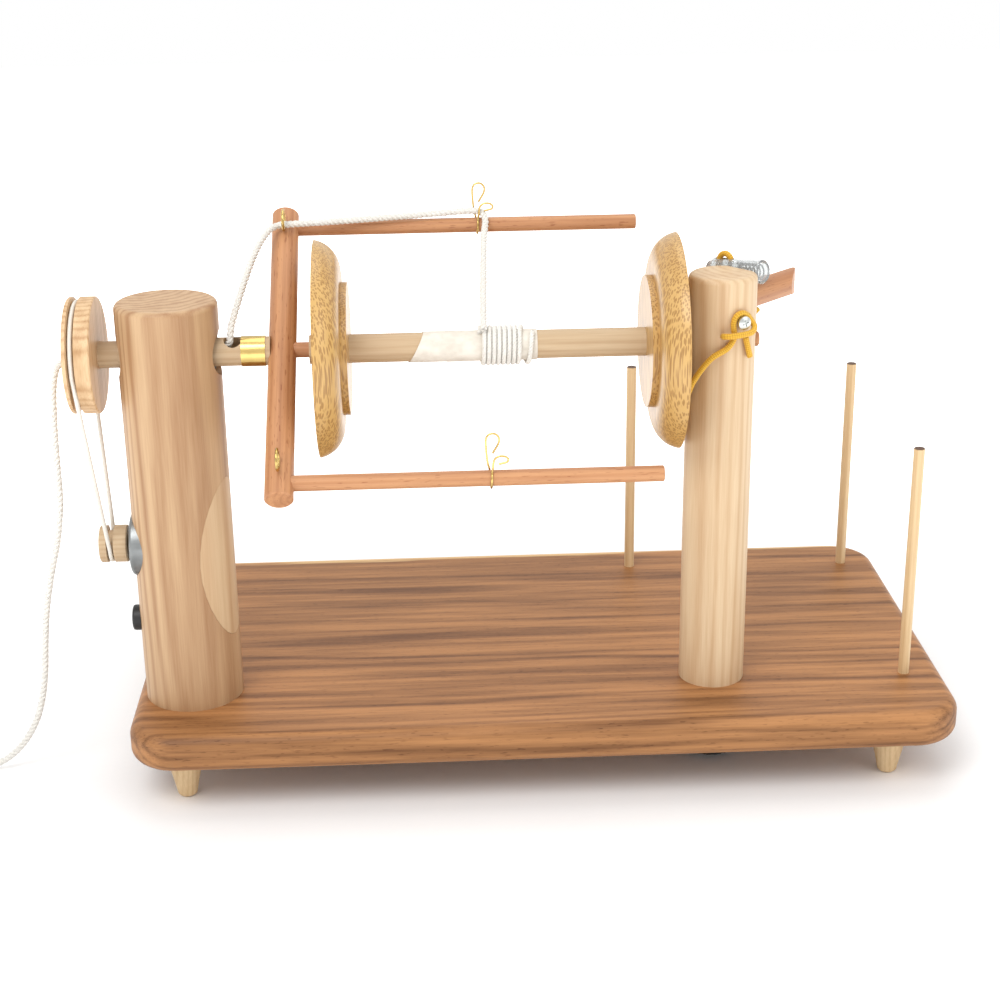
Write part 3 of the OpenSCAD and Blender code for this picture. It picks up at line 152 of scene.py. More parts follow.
def supply_route():
    down = from_point((ORIFICE_X, SPINDLE_Y, 0), [
        (0, 0, 238.3), (-2, 0, 238.3), (-4, 0, 238.3), (-7.5, -0.4, 236), (-9.6, -0.8, 231.5),
        (-11.2, -0.8, 223), (-12.2, -0.8, 210), (-12.9, -0.8, 195), (-13.2, -0.8, 178),
        (-13.8, -0.8, 160), (-17, -0.8, 140), (-22, -0.8, 121), (-26.5, -0.8, 101),
        (-29.4, -0.8, 81), (-31.6, -0.8, 61), (-35, -0.4, 44), (-40, 0.2, 30),
        (-48, 1, 17), (-58, 1.2, 7.5), (-69, 0.2, 3), (-81, -4.8, 2),
    ])
    coil = [coil_point(i / COIL_RINGS) for i in range(COIL_TURNS * COIL_RINGS + 1)]
    inlet = (coil[0] - coil_point(1 / 24)).normalized()
    approach = [coil[0] + away * inlet for away in (15.8, 9.8, 3.8)]
    return spline(down + approach, 6) + coil


FLYER_YARN_D = 3.9


def flyer_yarn_route():
    return spline(from_point((CROSSBAR_X, SPINDLE_Y, SPINDLE_Z), [
        (-108.5, 0, -2.9), (-104.5, 0, -2.9), (-90.5, 0, -2.9), (-75.5, 0, -2.9),
        (-60.5, 0, -2.8), (-47.5, 0, -2.4), (-38.5, -0.2, -1.2), (-31.5, -0.4, 1),
        (-27.2, -1.7, 4.9), (-26.2, -2.9, 9.2), (-25.2, -2, 14.8), (-21.5, 7.2, 25.8),
        (-17, 22.2, 37.8), (-12.5, 38.2, 46.8), (-8, 49.7, 51.8), (-3.5, 54.6, 53.6),
        (0, 55.8, 54), (4.5, 56.2, 54.1), (16.5, 57.6, 54.3), (38.5, 60.2, 54.8),
        (64.5, 63.4, 55.6), (86.5, 66, 56.4), (98.5, 67.1, 56.9), (103.5, 67.3, 56.8),
        (106.3, 67, 56.3), (108.1, 65.2, 54.9), (108.8, 62.2, 52.2), (108.3, 58.8, 49.4),
        (107.3, 50.2, 44), (106.1, 29.2, 31.5), (104.9, 4.2, 16.9), (104.5, -7.1, 10.6),
    ]), 6)


WOUND_START = -23.1
WOUND_PITCH = 2.6
WOUND_TURNS = 8
WOUND_WIDE = 6.6
WOUND_R = 9.4
WOUND_D = 2.6


def wound_route():
    points = []
    for i in range(48 * (WOUND_TURNS + 1) + 1):
        turn = i / 48
        a = math.radians(120) - 2 * math.pi * turn
        x = WOUND_START + WOUND_PITCH * min(turn, WOUND_TURNS)
        x += WOUND_WIDE * max(0, turn - WOUND_TURNS)
        points.append(Vector((
            x, SPINDLE_Y + WOUND_R * math.cos(a), SPINDLE_Z + WOUND_R * math.sin(a))))
    return points


def brake_route():
    knot = [off_post(*q) for q in [
        (-97, 248.4, 2.4), (-95.5, 249, 4.8), (-89, 249.2, 5.8), (-80, 249.5, 5.9),
        (-69, 249.8, 5.9), (-58, 250.4, 5.7), (-50.5, 252.4, 4.4), (-49.4, 254.2, 2.7),
        (-53.6, 256.6, 2), (-59.6, 258.8, 1.9), (-68.5, 260, 1.9), (-77.4, 258.7, 1.9),
        (-81.4, 255.5, 1.9), (-81.2, 252, 1.9), (-79.6, 248.8, 1.9), (-82.5, 245.4, 1.9),
        (-92, 241.4, 2),
    ]]
    run = from_point((SUPPORT_POST.x, SPINDLE_Y, SPINDLE_Z), [
        (-7.7, -20.6, -3.8), (-13.1, -18.8, -10.8), (-16.9, -16.4, -18.2),
        (-18.5, -14, -23.8), (-19.8, -12.2, -27.8), (-22.1, -10, -29.3),
        (-24.3, -7.1, -28.4), (-25.2, -3.6, -27), (-25.2, 0, -27), (-25.2, 3.6, -26.8),
        (-24.3, 7.2, -28.2), (-22.1, 10.2, -29.3), (-19.8, 12.4, -27.8),
        (-18.1, 14.8, -23.2), (-15.7, 18.6, -16.2), (-11.7, 22.8, -7.2), (-6.3, 26.2, 3.8),
        (-0.6, 26.6, 14.8), (3.1, 25.9, 23.8), (2.6, 26.4, 31.1), (2.2, 26.7, 35.8),
        (3, 26, 38.8), (5, 24, 40.2), (7, 22, 38.8), (7.8, 21.2, 36.2),
        (8, 20.9, 31.8), (8.2, 20.7, 22.8), (8.4, 20.4, 16.3), (10.3, 18.7, 11.4),
        (13.7, 15.2, 9.3), (17.7, 11.2, 10.2), (20.3, 8.6, 13.8),
    ])
    return spline(knot + run, 6)


def brake_tail_route():
    return spline([off_post(*q) for q in [
        (-60.5, 247.2, 1.9), (-58.5, 244.6, 1.9), (-54.5, 240.4, 1.9), (-50, 236, 1.9),
    ]], 6)


WHORL_BELT = Vector((-229.9, SPINDLE_Y, SPINDLE_Z))
PULLEY_BELT = Vector((-222.4, SPINDLE_Y, 136.0))
WHORL_PITCH_R = 27.7
PULLEY_PITCH_R = 8.7


def belt_route():
    """Two arcs, joined by the belt's straight runs."""
    lean = math.degrees(math.asin(
        (WHORL_PITCH_R - PULLEY_PITCH_R) / (WHORL_BELT.z - PULLEY_BELT.z)))
    half = 90 + lean
    points = []
    for centre, r, start, span, steps in (
        (WHORL_BELT, WHORL_PITCH_R, -half, 2 * half, 44),
        (PULLEY_BELT, PULLEY_PITCH_R, half, 360 - 2 * half, 24),
    ):
        for i in range(steps + 1):
            a = math.radians(start + span * i / steps)
            points.append(centre + Vector((0, r * math.sin(a), r * math.cos(a))))
    return points


HOOK_RING_R = 4.85


def hook_route():
    """One wire: a long loop, a turn round the arm and a short loop."""
    ring = []
    for i in range(1, 12):
        a = math.radians(30 * i)
        ring.append((-0.4 + 1.4 * i / 12, HOOK_RING_R * math.sin(a), HOOK_RING_R * math.cos(a)))
    return [
        (1.4, 2.8, 12.0), (3.0, 2.8, 14.6), (4.4, 2.8, 17.2), (4.7, 2.8, 19.6),
        (3.5, 2.8, 21.6), (1.2, 2.8, 22.3), (-1.0, 2.8, 21.2), (-1.9, 2.8, 18.8),
        (-1.8, 2.8, 14.5), (-1.4, 2.8, 9.5), (-0.9, 2.8, 6.2),
    ] + ring + [
        (1.3, -2.8, 6.2), (1.6, -2.8, 9.0), (2.4, -2.8, 11.0), (4.4, -2.8, 12.2),
        (7.2, -2.8, 12.1), (8.9, -2.8, 10.8), (8.4, -2.8, 9.3), (6.2, -2.8, 8.6),
        (4.2, -2.8, 8.2),
    ]


# Meshes swept along the routes
def evenly(points, step):
    """Points a step apart along a route."""
    total = route_length(points)
    count = max(4, round(total / step))
    out, run, k = [], 0.0, 0
    for i in range(count + 1):
        goal = total * i / count
        while k < len(points) - 2 and run + (points[k + 1] - points[k]).length < goal:
            run += (points[k + 1] - points[k]).length
            k += 1
        part = (points[k + 1] - points[k]).length
        out.append(points[k].lerp(points[k + 1], min(1, (goal - run) / part if part else 0)))
    return out


def route_length(points):
    return sum((b - a).length for a, b in zip(points, points[1:]))


def carried_sides(points):
    """A tangent and two cross directions at each point, carried along without twist."""
    frames = []
    side = None
    for i, p in enumerate(points):
        along = (points[min(i + 1, len(points) - 1)] - points[max(i - 1, 0)]).normalized()
        if side is None:
            side = along.cross(Vector((0, 0, 1)) if abs(along.z) < 0.8 else Vector((0, 1, 0)))
        side = (side - side.dot(along) * along).normalized()
        frames.append((p, side, along.cross(side)))
    return frames


def add_tube(verts, faces, uvs, centres, radius, sides, closed=False):
    start = len(verts)
    run = 0.0
    for i, (p, n, b) in enumerate(centres):
        if i:
            run += (p - centres[i - 1][0]).length
        for k in range(sides):
            a = 2 * math.pi * k / sides
            verts.append((p + radius * (math.cos(a) * n + math.sin(a) * b)) * MM)
            uvs.append((run * MM, k / sides))
    rings = len(centres)
    for i in range(rings if closed else rings - 1):
        for k in range(sides):
            m = (k + 1) % sides
            a, b = start + i * sides, start + (i + 1) % rings * sides
            faces.append((a + k, a + m, b + m, b + k))
    if not closed:
        faces.append([start + k for k in reversed(range(sides))])
        faces.append([start + (rings - 1) * sides + k for k in range(sides)])


def finish_mesh(name, verts, faces, uvs):
    mesh = bpy.data.meshes.new(name)
    mesh.from_pydata(verts, [], faces)
    layer = mesh.uv_layers.new(name="along_and_round")
    for loop in mesh.loops:
        layer.data[loop.index].uv = uvs[loop.vertex_index]
    mesh.shade_smooth()
    piece = bpy.data.objects.new(name, mesh)
    bpy.context.scene.collection.objects.link(piece)
    return piece


def tube_piece(name, routes, diameter, sides, step, closed=False):
    verts, faces, uvs = [], [], []
    for route in routes:
        points = route if closed else evenly(route, step)
        if closed:
            count = len(points)
            centres = []
            for i, p in enumerate(points):
                along = (points[(i + 1) % count] - points[i - 1]).normalized()
                side = (Vector((1, 0, 0)) - along.x * along).normalized()
                centres.append((p, side, along.cross(side)))
        else:
            centres = carried_sides(points)
        add_tube(verts, faces, uvs, centres, diameter / 2, sides, closed)
    return finish_mesh(name, verts, faces, uvs)


def plied_piece(name, route, diameter, plies, lay_length, step):
    """Twisted yarn: plies that wind round the route."""
    verts, faces, uvs = [], [], []
    centres = carried_sides(evenly(route, step))
    orbit = diameter * 0.18
    ply_r = diameter / 2 - orbit
    run = [0.0]
    for a, b in zip(centres, centres[1:]):
        run.append(run[-1] + (b[0] - a[0]).length)
    for ply in range(plies):
        ply_centres = []
        for (p, n, b), s in zip(centres, run):
            a = 2 * math.pi * (ply / plies + s / lay_length)
            out = math.cos(a) * n + math.sin(a) * b
            ply_centres.append((p + orbit * out, out, -math.sin(a) * n + math.cos(a) * b))
        add_tube(verts, faces, uvs, ply_centres, ply_r, 8)
    return finish_mesh(name, verts, faces, uvs)


# Materials. Colours are as seen on screen, and turned to linear values here.
def seen(r, g, b):
    return tuple(c / 12.92 if c <= 0.04045 else ((c + 0.055) / 1.055) ** 2.4
                 for c in (r, g, b)) + (1.0,)


class Graph:
    """Adds nodes to a tree; an input is a value or another node's output."""

    def __init__(self, tree):
        self.tree = tree

    def node(self, kind, inputs=(), **settings):
        made = self.tree.nodes.new(kind)
        for key, value in settings.items():
            setattr(made, key, value)
        for key, value in dict(inputs).items():
            socket = made.inputs[key]
            if isinstance(value, bpy.types.NodeSocket):
                self.tree.links.new(value, socket)
            else:
                socket.default_value = value
        return made

    def math(self, operation, a, b=0.0, c=0.0, clamp=False):
        return self.node("ShaderNodeMath", {0: a, 1: b, 2: c}, operation=operation,
                         use_clamp=clamp).outputs[0]

    def vector(self, operation, a, b):
        return self.node("ShaderNodeVectorMath", {0: a, 1: b}, operation=operation).outputs[0]

    def noise(self, vector, scale, detail=2.0, roughness=0.5):
        return self.node("ShaderNodeTexNoise", {
            "Vector": vector, "Scale": scale, "Detail": detail, "Roughness": roughness,
        }).outputs["Fac"]

    def step(self, value, low, high):
        return self.node("ShaderNodeMapRange", {
            "Value": value, "From Min": low, "From Max": high,
        }, interpolation_type="SMOOTHSTEP").outputs["Result"]

    def mix(self, factor, a, b):
        return self.node("ShaderNodeMix", {0: factor, 6: a, 7: b},
                         data_type="RGBA").outputs[2]


def grain_group():
    """Wood grain along Z: rings, streaks, fine fibres and short flecks, each 0 to 1."""
    tree = bpy.data.node_groups.new("wood_grain", "ShaderNodeTree")
    tree.interface.new_socket("Vector", in_out="INPUT", socket_type="NodeSocketVector")
    for name in ("Ring size", "Wander"):
        tree.interface.new_socket(name, in_out="INPUT", socket_type="NodeSocketFloat")
    for name in ("Rings", "Streaks", "Fibres", "Flecks"):
        tree.interface.new_socket(name, in_out="OUTPUT", socket_type="NodeSocketFloat")
    g = Graph(tree)
    given = g.node("NodeGroupInput").outputs
    stretched = g.vector("MULTIPLY", given["Vector"], (1, 1, 0.07))
    wander = g.node("ShaderNodeTexNoise", {"Vector": stretched, "Scale": 32.0, "Detail": 2.0})
    moved = g.vector("SUBTRACT", wander.outputs["Color"], (0.5, 0.5, 0.5))
    scaled = g.node("ShaderNodeVectorMath", {0: moved, "Scale": given["Wander"]},
                    operation="SCALE").outputs[0]
    flat = g.vector("MULTIPLY", given["Vector"], (1, 1, 0))
    place = g.vector("ADD", flat, scaled)
    reach = g.node("ShaderNodeVectorMath", {0: place}, operation="LENGTH").outputs["Value"]
    turns = g.math("MULTIPLY", g.math("DIVIDE", reach, given["Ring size"]), 2 * math.pi)
    wave = g.math("MULTIPLY_ADD", g.math("SINE", turns), 0.5, 0.5)
    rings = g.math("POWER", wave, 2.2)
    streaks = g.noise(g.vector("MULTIPLY", given["Vector"], (1, 1, 0.045)), 130.0, 4.0, 0.62)
    fibres = g.noise(g.vector("MULTIPLY", given["Vector"], (1, 1, 0.03)), 1500.0, 2.0)
    fleck_noise = g.noise(g.vector("MULTIPLY", given["Vector"], (1, 1, 0.14)), 1300.0, 1.0)
    flecks = g.step(fleck_noise, 0.62, 0.74)
    out = g.node("NodeGroupOutput")
    for name, value in (("Rings", rings), ("Streaks", g.step(streaks, 0.32, 0.68)),
                        ("Fibres", fibres), ("Flecks", flecks)):
        tree.links.new(value, out.inputs[name])
    return tree


WOOD_GRAIN = grain_group()


def new_material(name, roughness=0.5, **sockets):
    material = bpy.data.materials.new(name)
    material.use_nodes = True
    g = Graph(material.node_tree)
    bsdf = material.node_tree.nodes["Principled BSDF"]
    bsdf.inputs["Roughness"].default_value = roughness
    for key, value in sockets.items():
        bsdf.inputs[key.replace("_", " ")].default_value = value
    where = g.node("ShaderNodeTexCoord").outputs
    return material, g, bsdf, where


def bump(g, bsdf, height, distance, strength=1.0):
    made = g.node("ShaderNodeBump", {
        "Height": height, "Distance": distance * MM, "Strength": strength})
    g.tree.links.new(made.outputs[0], bsdf.inputs["Normal"])


ALONG_X = (0, math.radians(-90), 0)
ALONG_Z = (0, 0, 0)
ALONG_CROSSBAR = (FLYER_TURN, 0, 0)


def wood(name, light, dark, turn=ALONG_Z, middle=(0, 0, 0), ring=4.0, wander=9.0,
         rings=0.3, streaks=0.4, flecks=0.0, roughness=0.5, coat=0.0, dark_above=None,
         pale_behind=None):
    """Wood with its rings about a middle line, in millimetres, along the given turn."""
    material, g, bsdf, where = new_material(name, roughness)
    bsdf.inputs["Coat Weight"].default_value = coat
    bsdf.inputs["Coat Roughness"].default_value = 0.28
    bsdf.inputs["Specular IOR Level"].default_value = 0.35
    moved = g.vector("SUBTRACT", where["Object"], Vector(middle) * MM)
    turned = g.node("ShaderNodeVectorRotate", {"Vector": moved, "Rotation": turn},
                    rotation_type="EULER_XYZ").outputs[0]
    grain = g.node("ShaderNodeGroup", node_tree=WOOD_GRAIN)
    g.tree.links.new(turned, grain.inputs["Vector"])
    grain.inputs["Ring size"].default_value = ring * MM
    grain.inputs["Wander"].default_value = wander * MM
    amount = g.math("MULTIPLY", grain.outputs["Rings"], rings)
    amount = g.math("ADD", amount, g.math("MULTIPLY", grain.outputs["Streaks"], streaks))
    fine = g.math("MULTIPLY", g.math("SUBTRACT", grain.outputs["Fibres"], 0.5), 0.5)
    amount = g.math("ADD", amount, fine)
    amount = g.math("ADD", amount, g.math("MULTIPLY", grain.outputs["Flecks"], flecks),
                    clamp=True)
    colour = g.mix(amount, seen(*light), seen(*dark))
    if pale_behind is not None:
        y = g.node("ShaderNodeSeparateXYZ", {0: where["Object"]}).outputs["Y"]
        wavy = g.math("MULTIPLY", g.math("SUBTRACT", grain.outputs["Streaks"], 0.5), 0.008)
        edge = g.step(g.math("ADD", y, wavy), pale_behind * MM, (pale_behind + 5) * MM)
        colour = g.mix(edge, colour, seen(0.87, 0.72, 0.52))
    if dark_above is not None:
        z = g.node("ShaderNodeSeparateXYZ", {0: where["Object"]}).outputs["Z"]
        edge = g.step(z, (dark_above - 0.5) * MM, dark_above * MM)
        colour = g.mix(edge, colour, seen(0.33, 0.22, 0.14))
    g.tree.links.new(colour, bsdf.inputs["Base Color"])
    relief = g.math("ADD", grain.outputs["Fibres"], g.math("MULTIPLY", amount, -0.6))
    bump(g, bsdf, relief, 0.08, 0.6)
    return material


def bamboo(name):
    """Laminated bamboo: fibre bundles along Z show as dots on end grain, and as lines beside."""
    material, g, bsdf, where = new_material(name, 0.36)
    bsdf.inputs["Coat Weight"].default_value = 0.15
    bsdf.inputs["Coat Roughness"].default_value = 0.22
    stretched = g.vector("MULTIPLY", where["Object"], (1, 1, 0.05))
    cells = g.node("ShaderNodeTexVoronoi", {"Vector": stretched, "Scale": 1000.0}).outputs
    dots = g.step(cells["Distance"], 0.56, 0.34)
    strips = g.vector("MULTIPLY", where["Object"], (1, 0.16, 0.002))
    strip = g.node("ShaderNodeTexVoronoi", {"Vector": strips, "Scale": 210.0}).outputs
    tone = g.node("ShaderNodeSeparateColor", {0: strip["Color"]}).outputs[0]
    cloud = g.noise(g.vector("MULTIPLY", where["Object"], (1, 1, 0.3)), 40.0)
    base = g.mix(tone, seen(0.79, 0.63, 0.375), seen(0.72, 0.55, 0.29))
    base = g.mix(g.math("MULTIPLY", cloud, 0.5), base, seen(0.82, 0.67, 0.42))
    colour = g.mix(g.math("MULTIPLY", dots, 0.62), base, seen(0.52, 0.34, 0.14))
    g.tree.links.new(colour, bsdf.inputs["Base Color"])
    bump(g, bsdf, g.math("ADD", g.math("MULTIPLY", dots, -0.5), cloud), 0.05, 0.5)
    return material


def metal(name, colour, roughness, scratch=(1, 1, 1), depth=0.02):
    material, g, bsdf, where = new_material(name, roughness, Metallic=1.0)
    marks = g.noise(g.vector("MULTIPLY", where["Object"], scratch), 900.0, 3.0)
    stain = g.noise(where["Object"], 90.0, 3.0)
    tint = tuple(c * 0.72 for c in seen(*colour)[:3]) + (1.0,)
    g.tree.links.new(g.mix(g.step(stain, 0.35, 0.75), seen(*colour), tint),
                     bsdf.inputs["Base Color"])
    rough = g.math("MULTIPLY_ADD", marks, 0.18, roughness - 0.06)
    g.tree.links.new(rough, bsdf.inputs["Roughness"])
    bump(g, bsdf, marks, depth, 0.4)
    return material


def plastic(name, colour, roughness, grain_scale=2200.0, depth=0.02, **sockets):
    material, g, bsdf, where = new_material(name, roughness, **sockets)
    grain = g.noise(where["Object"], grain_scale, 2.0)
    darker = tuple(c * 0.8 for c in seen(*colour)[:3]) + (1.0,)
    g.tree.links.new(g.mix(grain, seen(*colour), darker), bsdf.inputs["Base Color"])
    bump(g, bsdf, grain, depth, 0.4)
    return material


def cotton(name):
    material, g, bsdf, where = new_material(name, 0.92)
    bsdf.inputs["Sheen Weight"].default_value = 0.35
    bsdf.inputs["Sheen Roughness"].default_value = 0.6
    bsdf.inputs["Specular IOR Level"].default_value = 0.15
    fibre = g.noise(g.vector("MULTIPLY", where["UV"], (2400, 22, 1)), 1.0, 3.0, 0.7)
    fuzz = g.noise(where["Object"], 1600.0, 3.0, 0.7)
    both = g.math("MULTIPLY", g.math("ADD", fibre, fuzz), 0.5)
    g.tree.links.new(g.mix(g.step(both, 0.3, 0.7), seen(0.85, 0.83, 0.79),
                           seen(0.985, 0.98, 0.96)), bsdf.inputs["Base Color"])
    bump(g, bsdf, both, 0.25, 0.8)
    return material


def braid(name, light, dark):
    """Covered elastic: threads cross in two directions round the cord."""
    material, g, bsdf, where = new_material(name, 0.7)
    bsdf.inputs["Sheen Weight"].default_value = 0.2
    xyz = g.node("ShaderNodeSeparateXYZ", {0: where["UV"]}).outputs
    along = g.math("MULTIPLY", xyz["X"], 2 * math.pi / (2.2 * MM))
    round_it = g.math("MULTIPLY", xyz["Y"], 2 * math.pi * 5)
    one = g.math("SINE", g.math("ADD", along, round_it))
    two = g.math("SINE", g.math("SUBTRACT", along, round_it))
    weave = g.step(g.math("MULTIPLY", one, two), -0.7, 0.7)
    g.tree.links.new(g.mix(weave, seen(*dark), seen(*light)), bsdf.inputs["Base Color"])
    bump(g, bsdf, weave, 0.12, 0.7)
    return material


def paper(name):
    material, g, bsdf, where = new_material(name, 0.85)
    crease_relief_and_shade = g.noise(g.vector("MULTIPLY", where["Object"], (1, 1.6, 1.6)), 120.0, 4.0, 0.6)
    # The paper is painted darker where the crease relief is low: painted shade in the creases,
    # over the bump's real relief
    g.tree.links.new(g.mix(g.step(crease_relief_and_shade, 0.25, 0.75), seen(0.83, 0.80, 0.75),
                           seen(0.90, 0.875, 0.83)), bsdf.inputs["Base Color"])
    bump(g, bsdf, crease_relief_and_shade, 0.5, 0.7)
    return material


LIGHT_DOWEL = dict(light=(0.88, 0.77, 0.60), dark=(0.72, 0.57, 0.39), ring=2.6, wander=3.0,
                   rings=0.25, streaks=0.35)
# A darker copy of the same dowel wood for the lit turned parts along X: painted shade that tones
# down their light; the feet, in shade, keep the lighter copy
DOWEL_WITH_PAINTED_SHADE = dict(LIGHT_DOWEL, light=(0.78, 0.685, 0.555), dark=(0.64, 0.505, 0.36))
RED_BEECH = dict(light=(0.78, 0.57, 0.40), dark=(0.59, 0.37, 0.235), ring=3.4, wander=4.0,
                 rings=0.25, streaks=0.45, flecks=0.5, roughness=0.48, coat=0.08)

MATERIALS = {
    "acacia": wood("acacia", (0.71, 0.50, 0.31), (0.38, 0.225, 0.105), ALONG_X,
                   (0, 60, -150), 7.0, 30.0, rings=0.32, streaks=0.55, flecks=0.3,
                   roughness=0.5, pale_behind=122.0),
    "motor_pine": wood("motor_pine", (0.78, 0.65, 0.50), (0.61, 0.445, 0.305), ALONG_Z,
                       MOTOR_POST + Vector((-16, 30, 0)), 5.2, 16.0, 0.5, 0.34,
                       roughness=0.5, coat=0.06),
    "cover_pine": wood("cover_pine", (0.82, 0.71, 0.565), (0.70, 0.53, 0.37), ALONG_Z,
                       MOTOR_POST + Vector((-34, 60, 0)), 6.0, 10.0, 0.4, 0.3,
                       roughness=0.5, coat=0.06),
    "support_pine": wood("support_pine", (0.85, 0.75, 0.61), (0.72, 0.555, 0.385), ALONG_Z,
                         SUPPORT_POST + Vector((26, 18, 0)), 4.4, 14.0, 0.34, 0.3,
                         roughness=0.5, coat=0.06),
    # The turned parts along X take the darker dowel copy, painted shade over their light
    "turned_x": wood("turned_x", turn=ALONG_X, middle=(0, SPINDLE_Y + 9, SPINDLE_Z - 12),
                     **DOWEL_WITH_PAINTED_SHADE),
    "turned_z": wood("turned_z", turn=ALONG_Z, **LIGHT_DOWEL),
    "peg_wood": wood("peg_wood", turn=ALONG_Z, dark_above=180.0, **LIGHT_DOWEL),
    "whorl_wood": wood("whorl_wood", (0.86, 0.735, 0.575), (0.66, 0.485, 0.31), ALONG_Z,
                       (-227, SPINDLE_Y + 22, 0), 3.4, 7.0, 0.4, 0.4, flecks=0.2),
    "beech_x": wood("beech_x", turn=ALONG_X, middle=(0, SPINDLE_Y, SPINDLE_Z), **RED_BEECH),
    "beech_bar": wood("beech_bar", turn=ALONG_CROSSBAR,
                      middle=(CROSSBAR_X + 9, SPINDLE_Y, SPINDLE_Z), **RED_BEECH),
    "beech_peg": wood("beech_peg", turn=(math.radians(90), math.radians(-45.2), 0),
                      middle=SUPPORT_POST + Vector((0, 0, 256)), **RED_BEECH),
    "bamboo": bamboo("bamboo"),
    "brass": metal("brass", (0.86, 0.74, 0.46), 0.2),
    "steel": metal("steel", (0.56, 0.57, 0.57), 0.36, (0.1, 1, 1)),
    "bright_steel": metal("bright_steel", (0.80, 0.81, 0.80), 0.26),
    "black": plastic("black", (0.10, 0.10, 0.105), 0.46),
    "board_green": plastic("board_green", (0.12, 0.38, 0.22), 0.4),
    "clear": plastic("clear", (0.96, 0.97, 0.97), 0.08, 400.0, 0.03,
                     Transmission_Weight=0.85, IOR=1.3),
    "belt": plastic("belt", (0.95, 0.93, 0.89), 0.5, 900.0, 0.03, Transmission_Weight=0.1),
    "cotton": cotton("cotton"),
    "yellow": braid("yellow", (0.90, 0.73, 0.22), (0.80, 0.56, 0.08)),
    "paper": paper("paper"),
}

NODE_MATERIALS = {
    "acacia": ["base_board"],
    "motor_pine": ["motor_post"],
    "cover_pine": ["access_cover"],
    "support_pine": ["support_post"],
    "turned_x": ["spindle_shaft", "bobbin_tube", "brake_whorl", "drive_pulley"],
    "turned_z": ["foot_front_left", "foot_front_right", "foot_back_left", "foot_back_right"],
    "peg_wood": ["yarn_peg_front", "yarn_peg_back_right", "yarn_peg_back_mid"],
    "whorl_wood": ["flyer_whorl"],
    "beech_x": ["arm_upper", "arm_lower", "axle_rod"],
    "beech_bar": ["crossbar"],
    "beech_peg": ["tension_peg"],
    "bamboo": ["dish_left", "dish_right"],
    "brass": ["ferrule", "eye_upper", "eye_lower", "hook_upper", "hook_lower", "axle_bush",
              "threaded_insert"],
    "steel": ["post_screws", "motor_can", "motor_shaft", "motor_rotor", "potentiometer",
              "bearing_left", "bearing_right", "lock_spring", "clamp_bolt"],
    "bright_steel": ["brake_screw"],
    "black": ["speed_knob", "dc_inlet", "motor_leads", "clamp_knob"],
    "board_green": ["control_board"],
    "clear": ["lock_barrel", "lock_plunger"],
    "belt": ["drive_belt"],
    "cotton": ["yarn_winding", "yarn_flyer", "yarn_lead", "yarn_coil"],
    "yellow": ["brake_cord"],
    "paper": ["paper_wrap"],
}
for material_name, nodes in NODE_MATERIALS.items():
    for node in nodes:
        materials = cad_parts[node].data.materials
        materials.clear()
        materials.append(MATERIALS[material_name])


# Yarns, cord, belt and hooks, each in place of its CAD solid
def dress(piece, material_name, body, slot, *nodes):
    piece.data.materials.append(MATERIALS[material_name])
    if body:
        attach(piece, body)
    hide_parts(*nodes)
    return piece


supply = supply_route()
supply_yarn = dress(
    plied_piece("supply_yarn", supply, SUPPLY_D, 3, 9.0, 0.9),
    "cotton", "frame", "yarn", "yarn_lead", "yarn_coil")

flyer_yarn = dress(
    plied_piece("flyer_yarn", flyer_yarn_route(), FLYER_YARN_D, 3, 8.0, 0.8),
    "cotton", None, "yarn", "yarn_flyer")
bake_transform(flyer_yarn)

dress(plied_piece("wound_yarn", wound_route(), WOUND_D, 3, 5.0, 0.7),
      "cotton", "bobbin", "yarn", "yarn_winding")
dress(tube_piece("brake_elastic", [brake_route(), brake_tail_route()], 3.2, 14, 0.8),
      "yellow", "frame", "yellow_cord", "brake_cord")
dress(tube_piece("belt", [belt_route()], 2.3, 12, 1.0, closed=True),
      "belt", "frame", "belt", "drive_belt")
for side, body, reach in ((1, "upper_hook", 104.0), (-1, "lower_hook", 104.5)):
    arm = Vector((0, 83.5 * math.sin(FLYER_TURN), 83.5 * math.cos(FLYER_TURN))) * side
    middle = Vector((CROSSBAR_X + reach, SPINDLE_Y, SPINDLE_Z)) + arm
    wire = spline([middle + Vector(q) for q in hook_route()], 6)
    dress(tube_piece(body + "_wire", [wire], 1.1, 12, 0.5), "brass", body, "brass",
          "hook_upper" if side > 0 else "hook_lower")


# The lock's spring, from the plunger's end to the barrel's closed end
LOCK_MIDDLE = Vector((118.175, -39.508, 274.0))
LOCK_ALONG = Vector((0.70127, -0.70619, 0.09758))
SPRING_START = -2.65
SPRING_END = 8.95
SPRING_CURLS = 5
SPRING_R = 3.81


def lock_spring_route():
    out = LOCK_ALONG.cross(Vector((0, 0, 1))).normalized()
    up = out.cross(LOCK_ALONG)
    points = []
    for i in range(SPRING_CURLS * 32 + 1):
        u = i / (SPRING_CURLS * 32)
        a = 2 * math.pi * SPRING_CURLS * u
        points.append(LOCK_MIDDLE + (SPRING_START + (SPRING_END - SPRING_START) * u) * LOCK_ALONG
                      + SPRING_R * (math.cos(a) * out + math.sin(a) * up))
    return points


lock_spring = dress(tube_piece("lock_coil", [lock_spring_route()], 0.9, 10, 0.5),
                    "steel", "frame", "steel", "lock_spring")
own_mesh(lock_spring)


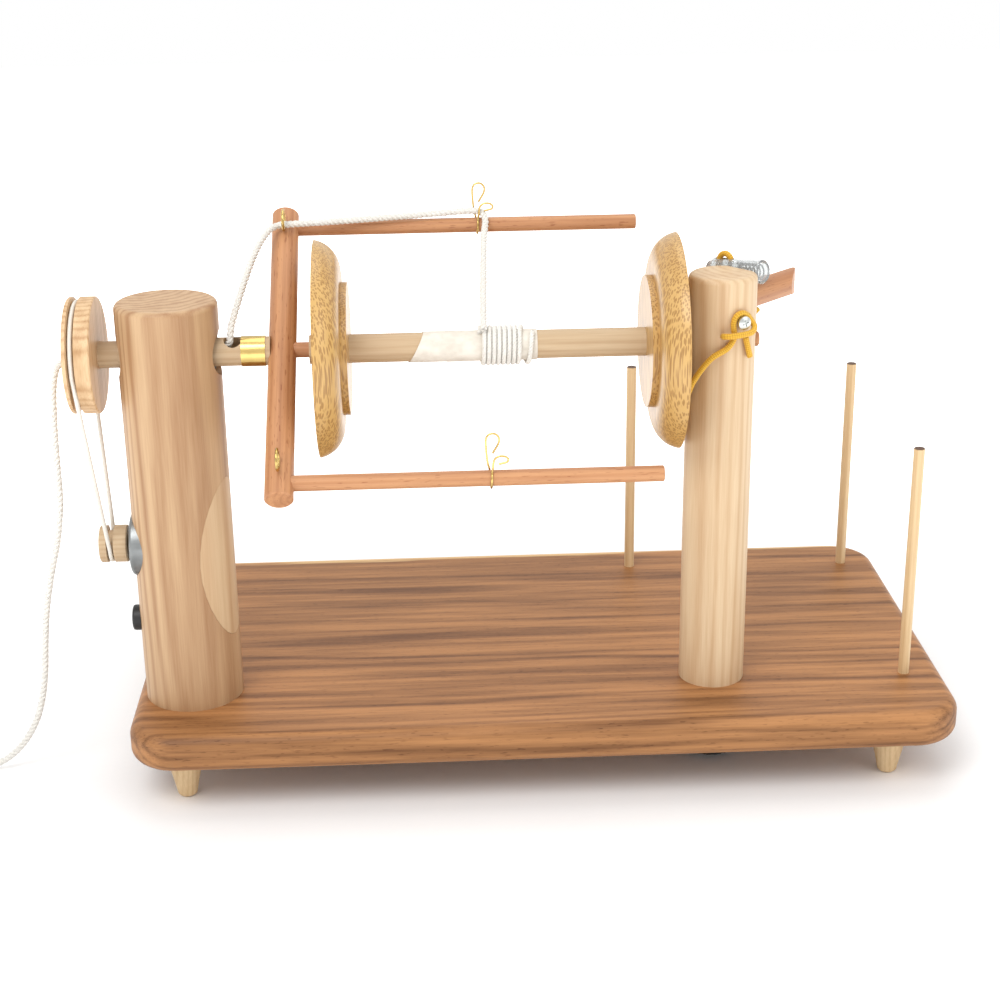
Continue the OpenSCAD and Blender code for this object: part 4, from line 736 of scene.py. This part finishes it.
# Pale floor, white background and soft lights
def make_stage():
    mesh = bpy.data.meshes.new("floor")
    far = 3.0
    mesh.from_pydata([(-far, -far, 0), (far, -far, 0), (far, far, 0), (-far, far, 0)],
                     [], [(0, 1, 2, 3)])
    floor = bpy.data.objects.new("floor", mesh)
    bpy.context.scene.collection.objects.link(floor)
    material, g, bsdf, where = new_material("floor", 0.85)
    speckle = g.noise(where["Object"], 300.0)
    g.tree.links.new(g.mix(speckle, seen(0.975, 0.975, 0.975), seen(0.985, 0.985, 0.985)),
                     bsdf.inputs["Base Color"])
    bsdf.inputs["Specular IOR Level"].default_value = 0.1
    # Away from the machine the floor glows as white as the background, so no horizon shows
    reach = g.node("ShaderNodeVectorMath", {0: where["Object"]}, operation="LENGTH")
    bsdf.inputs["Emission Color"].default_value = (1, 1, 1, 1)
    g.tree.links.new(g.step(reach.outputs["Value"], 0.26, 0.6),
                     bsdf.inputs["Emission Strength"])
    mesh.materials.append(material)


def make_world():
    world = bpy.data.worlds.new("studio")
    bpy.context.scene.world = world
    world.use_nodes = True
    tree = world.node_tree
    tree.nodes.clear()
    g = Graph(tree)
    rays = g.node("ShaderNodeLightPath").outputs
    seen_ray = g.math("MAXIMUM", rays["Is Camera Ray"],
                      g.math("MAXIMUM", rays["Is Glossy Ray"], rays["Is Transmission Ray"]))
    soft = g.node("ShaderNodeBackground", {"Color": (1, 1, 1, 1), "Strength": 0.72})
    white = g.node("ShaderNodeBackground", {"Color": (1, 1, 1, 1), "Strength": 1.0})
    mixed = g.node("ShaderNodeMixShader", {0: seen_ray, 1: soft.outputs[0],
                                           2: white.outputs[0]})
    g.node("ShaderNodeOutputWorld", {"Surface": mixed.outputs[0]})


def area_light(name, place, size, power, target=(0, 0, 0.12)):
    light = bpy.data.lights.new(name, "AREA")
    light.size = size
    light.energy = power
    lamp = bpy.data.objects.new(name, light)
    bpy.context.scene.collection.objects.link(lamp)
    lamp.location = place
    lamp.rotation_euler = (Vector(target) - Vector(place)).to_track_quat("-Z", "Y").to_euler()


make_stage()
make_world()
area_light("key", (-0.7, -1.1, 1.6), 1.0, 17)
area_light("fill", (1.3, -0.9, 1.1), 1.2, 6)
area_light("top", (0.1, 0.5, 1.9), 1.4, 9)

bpy.context.scene.view_settings.view_transform = "Standard"
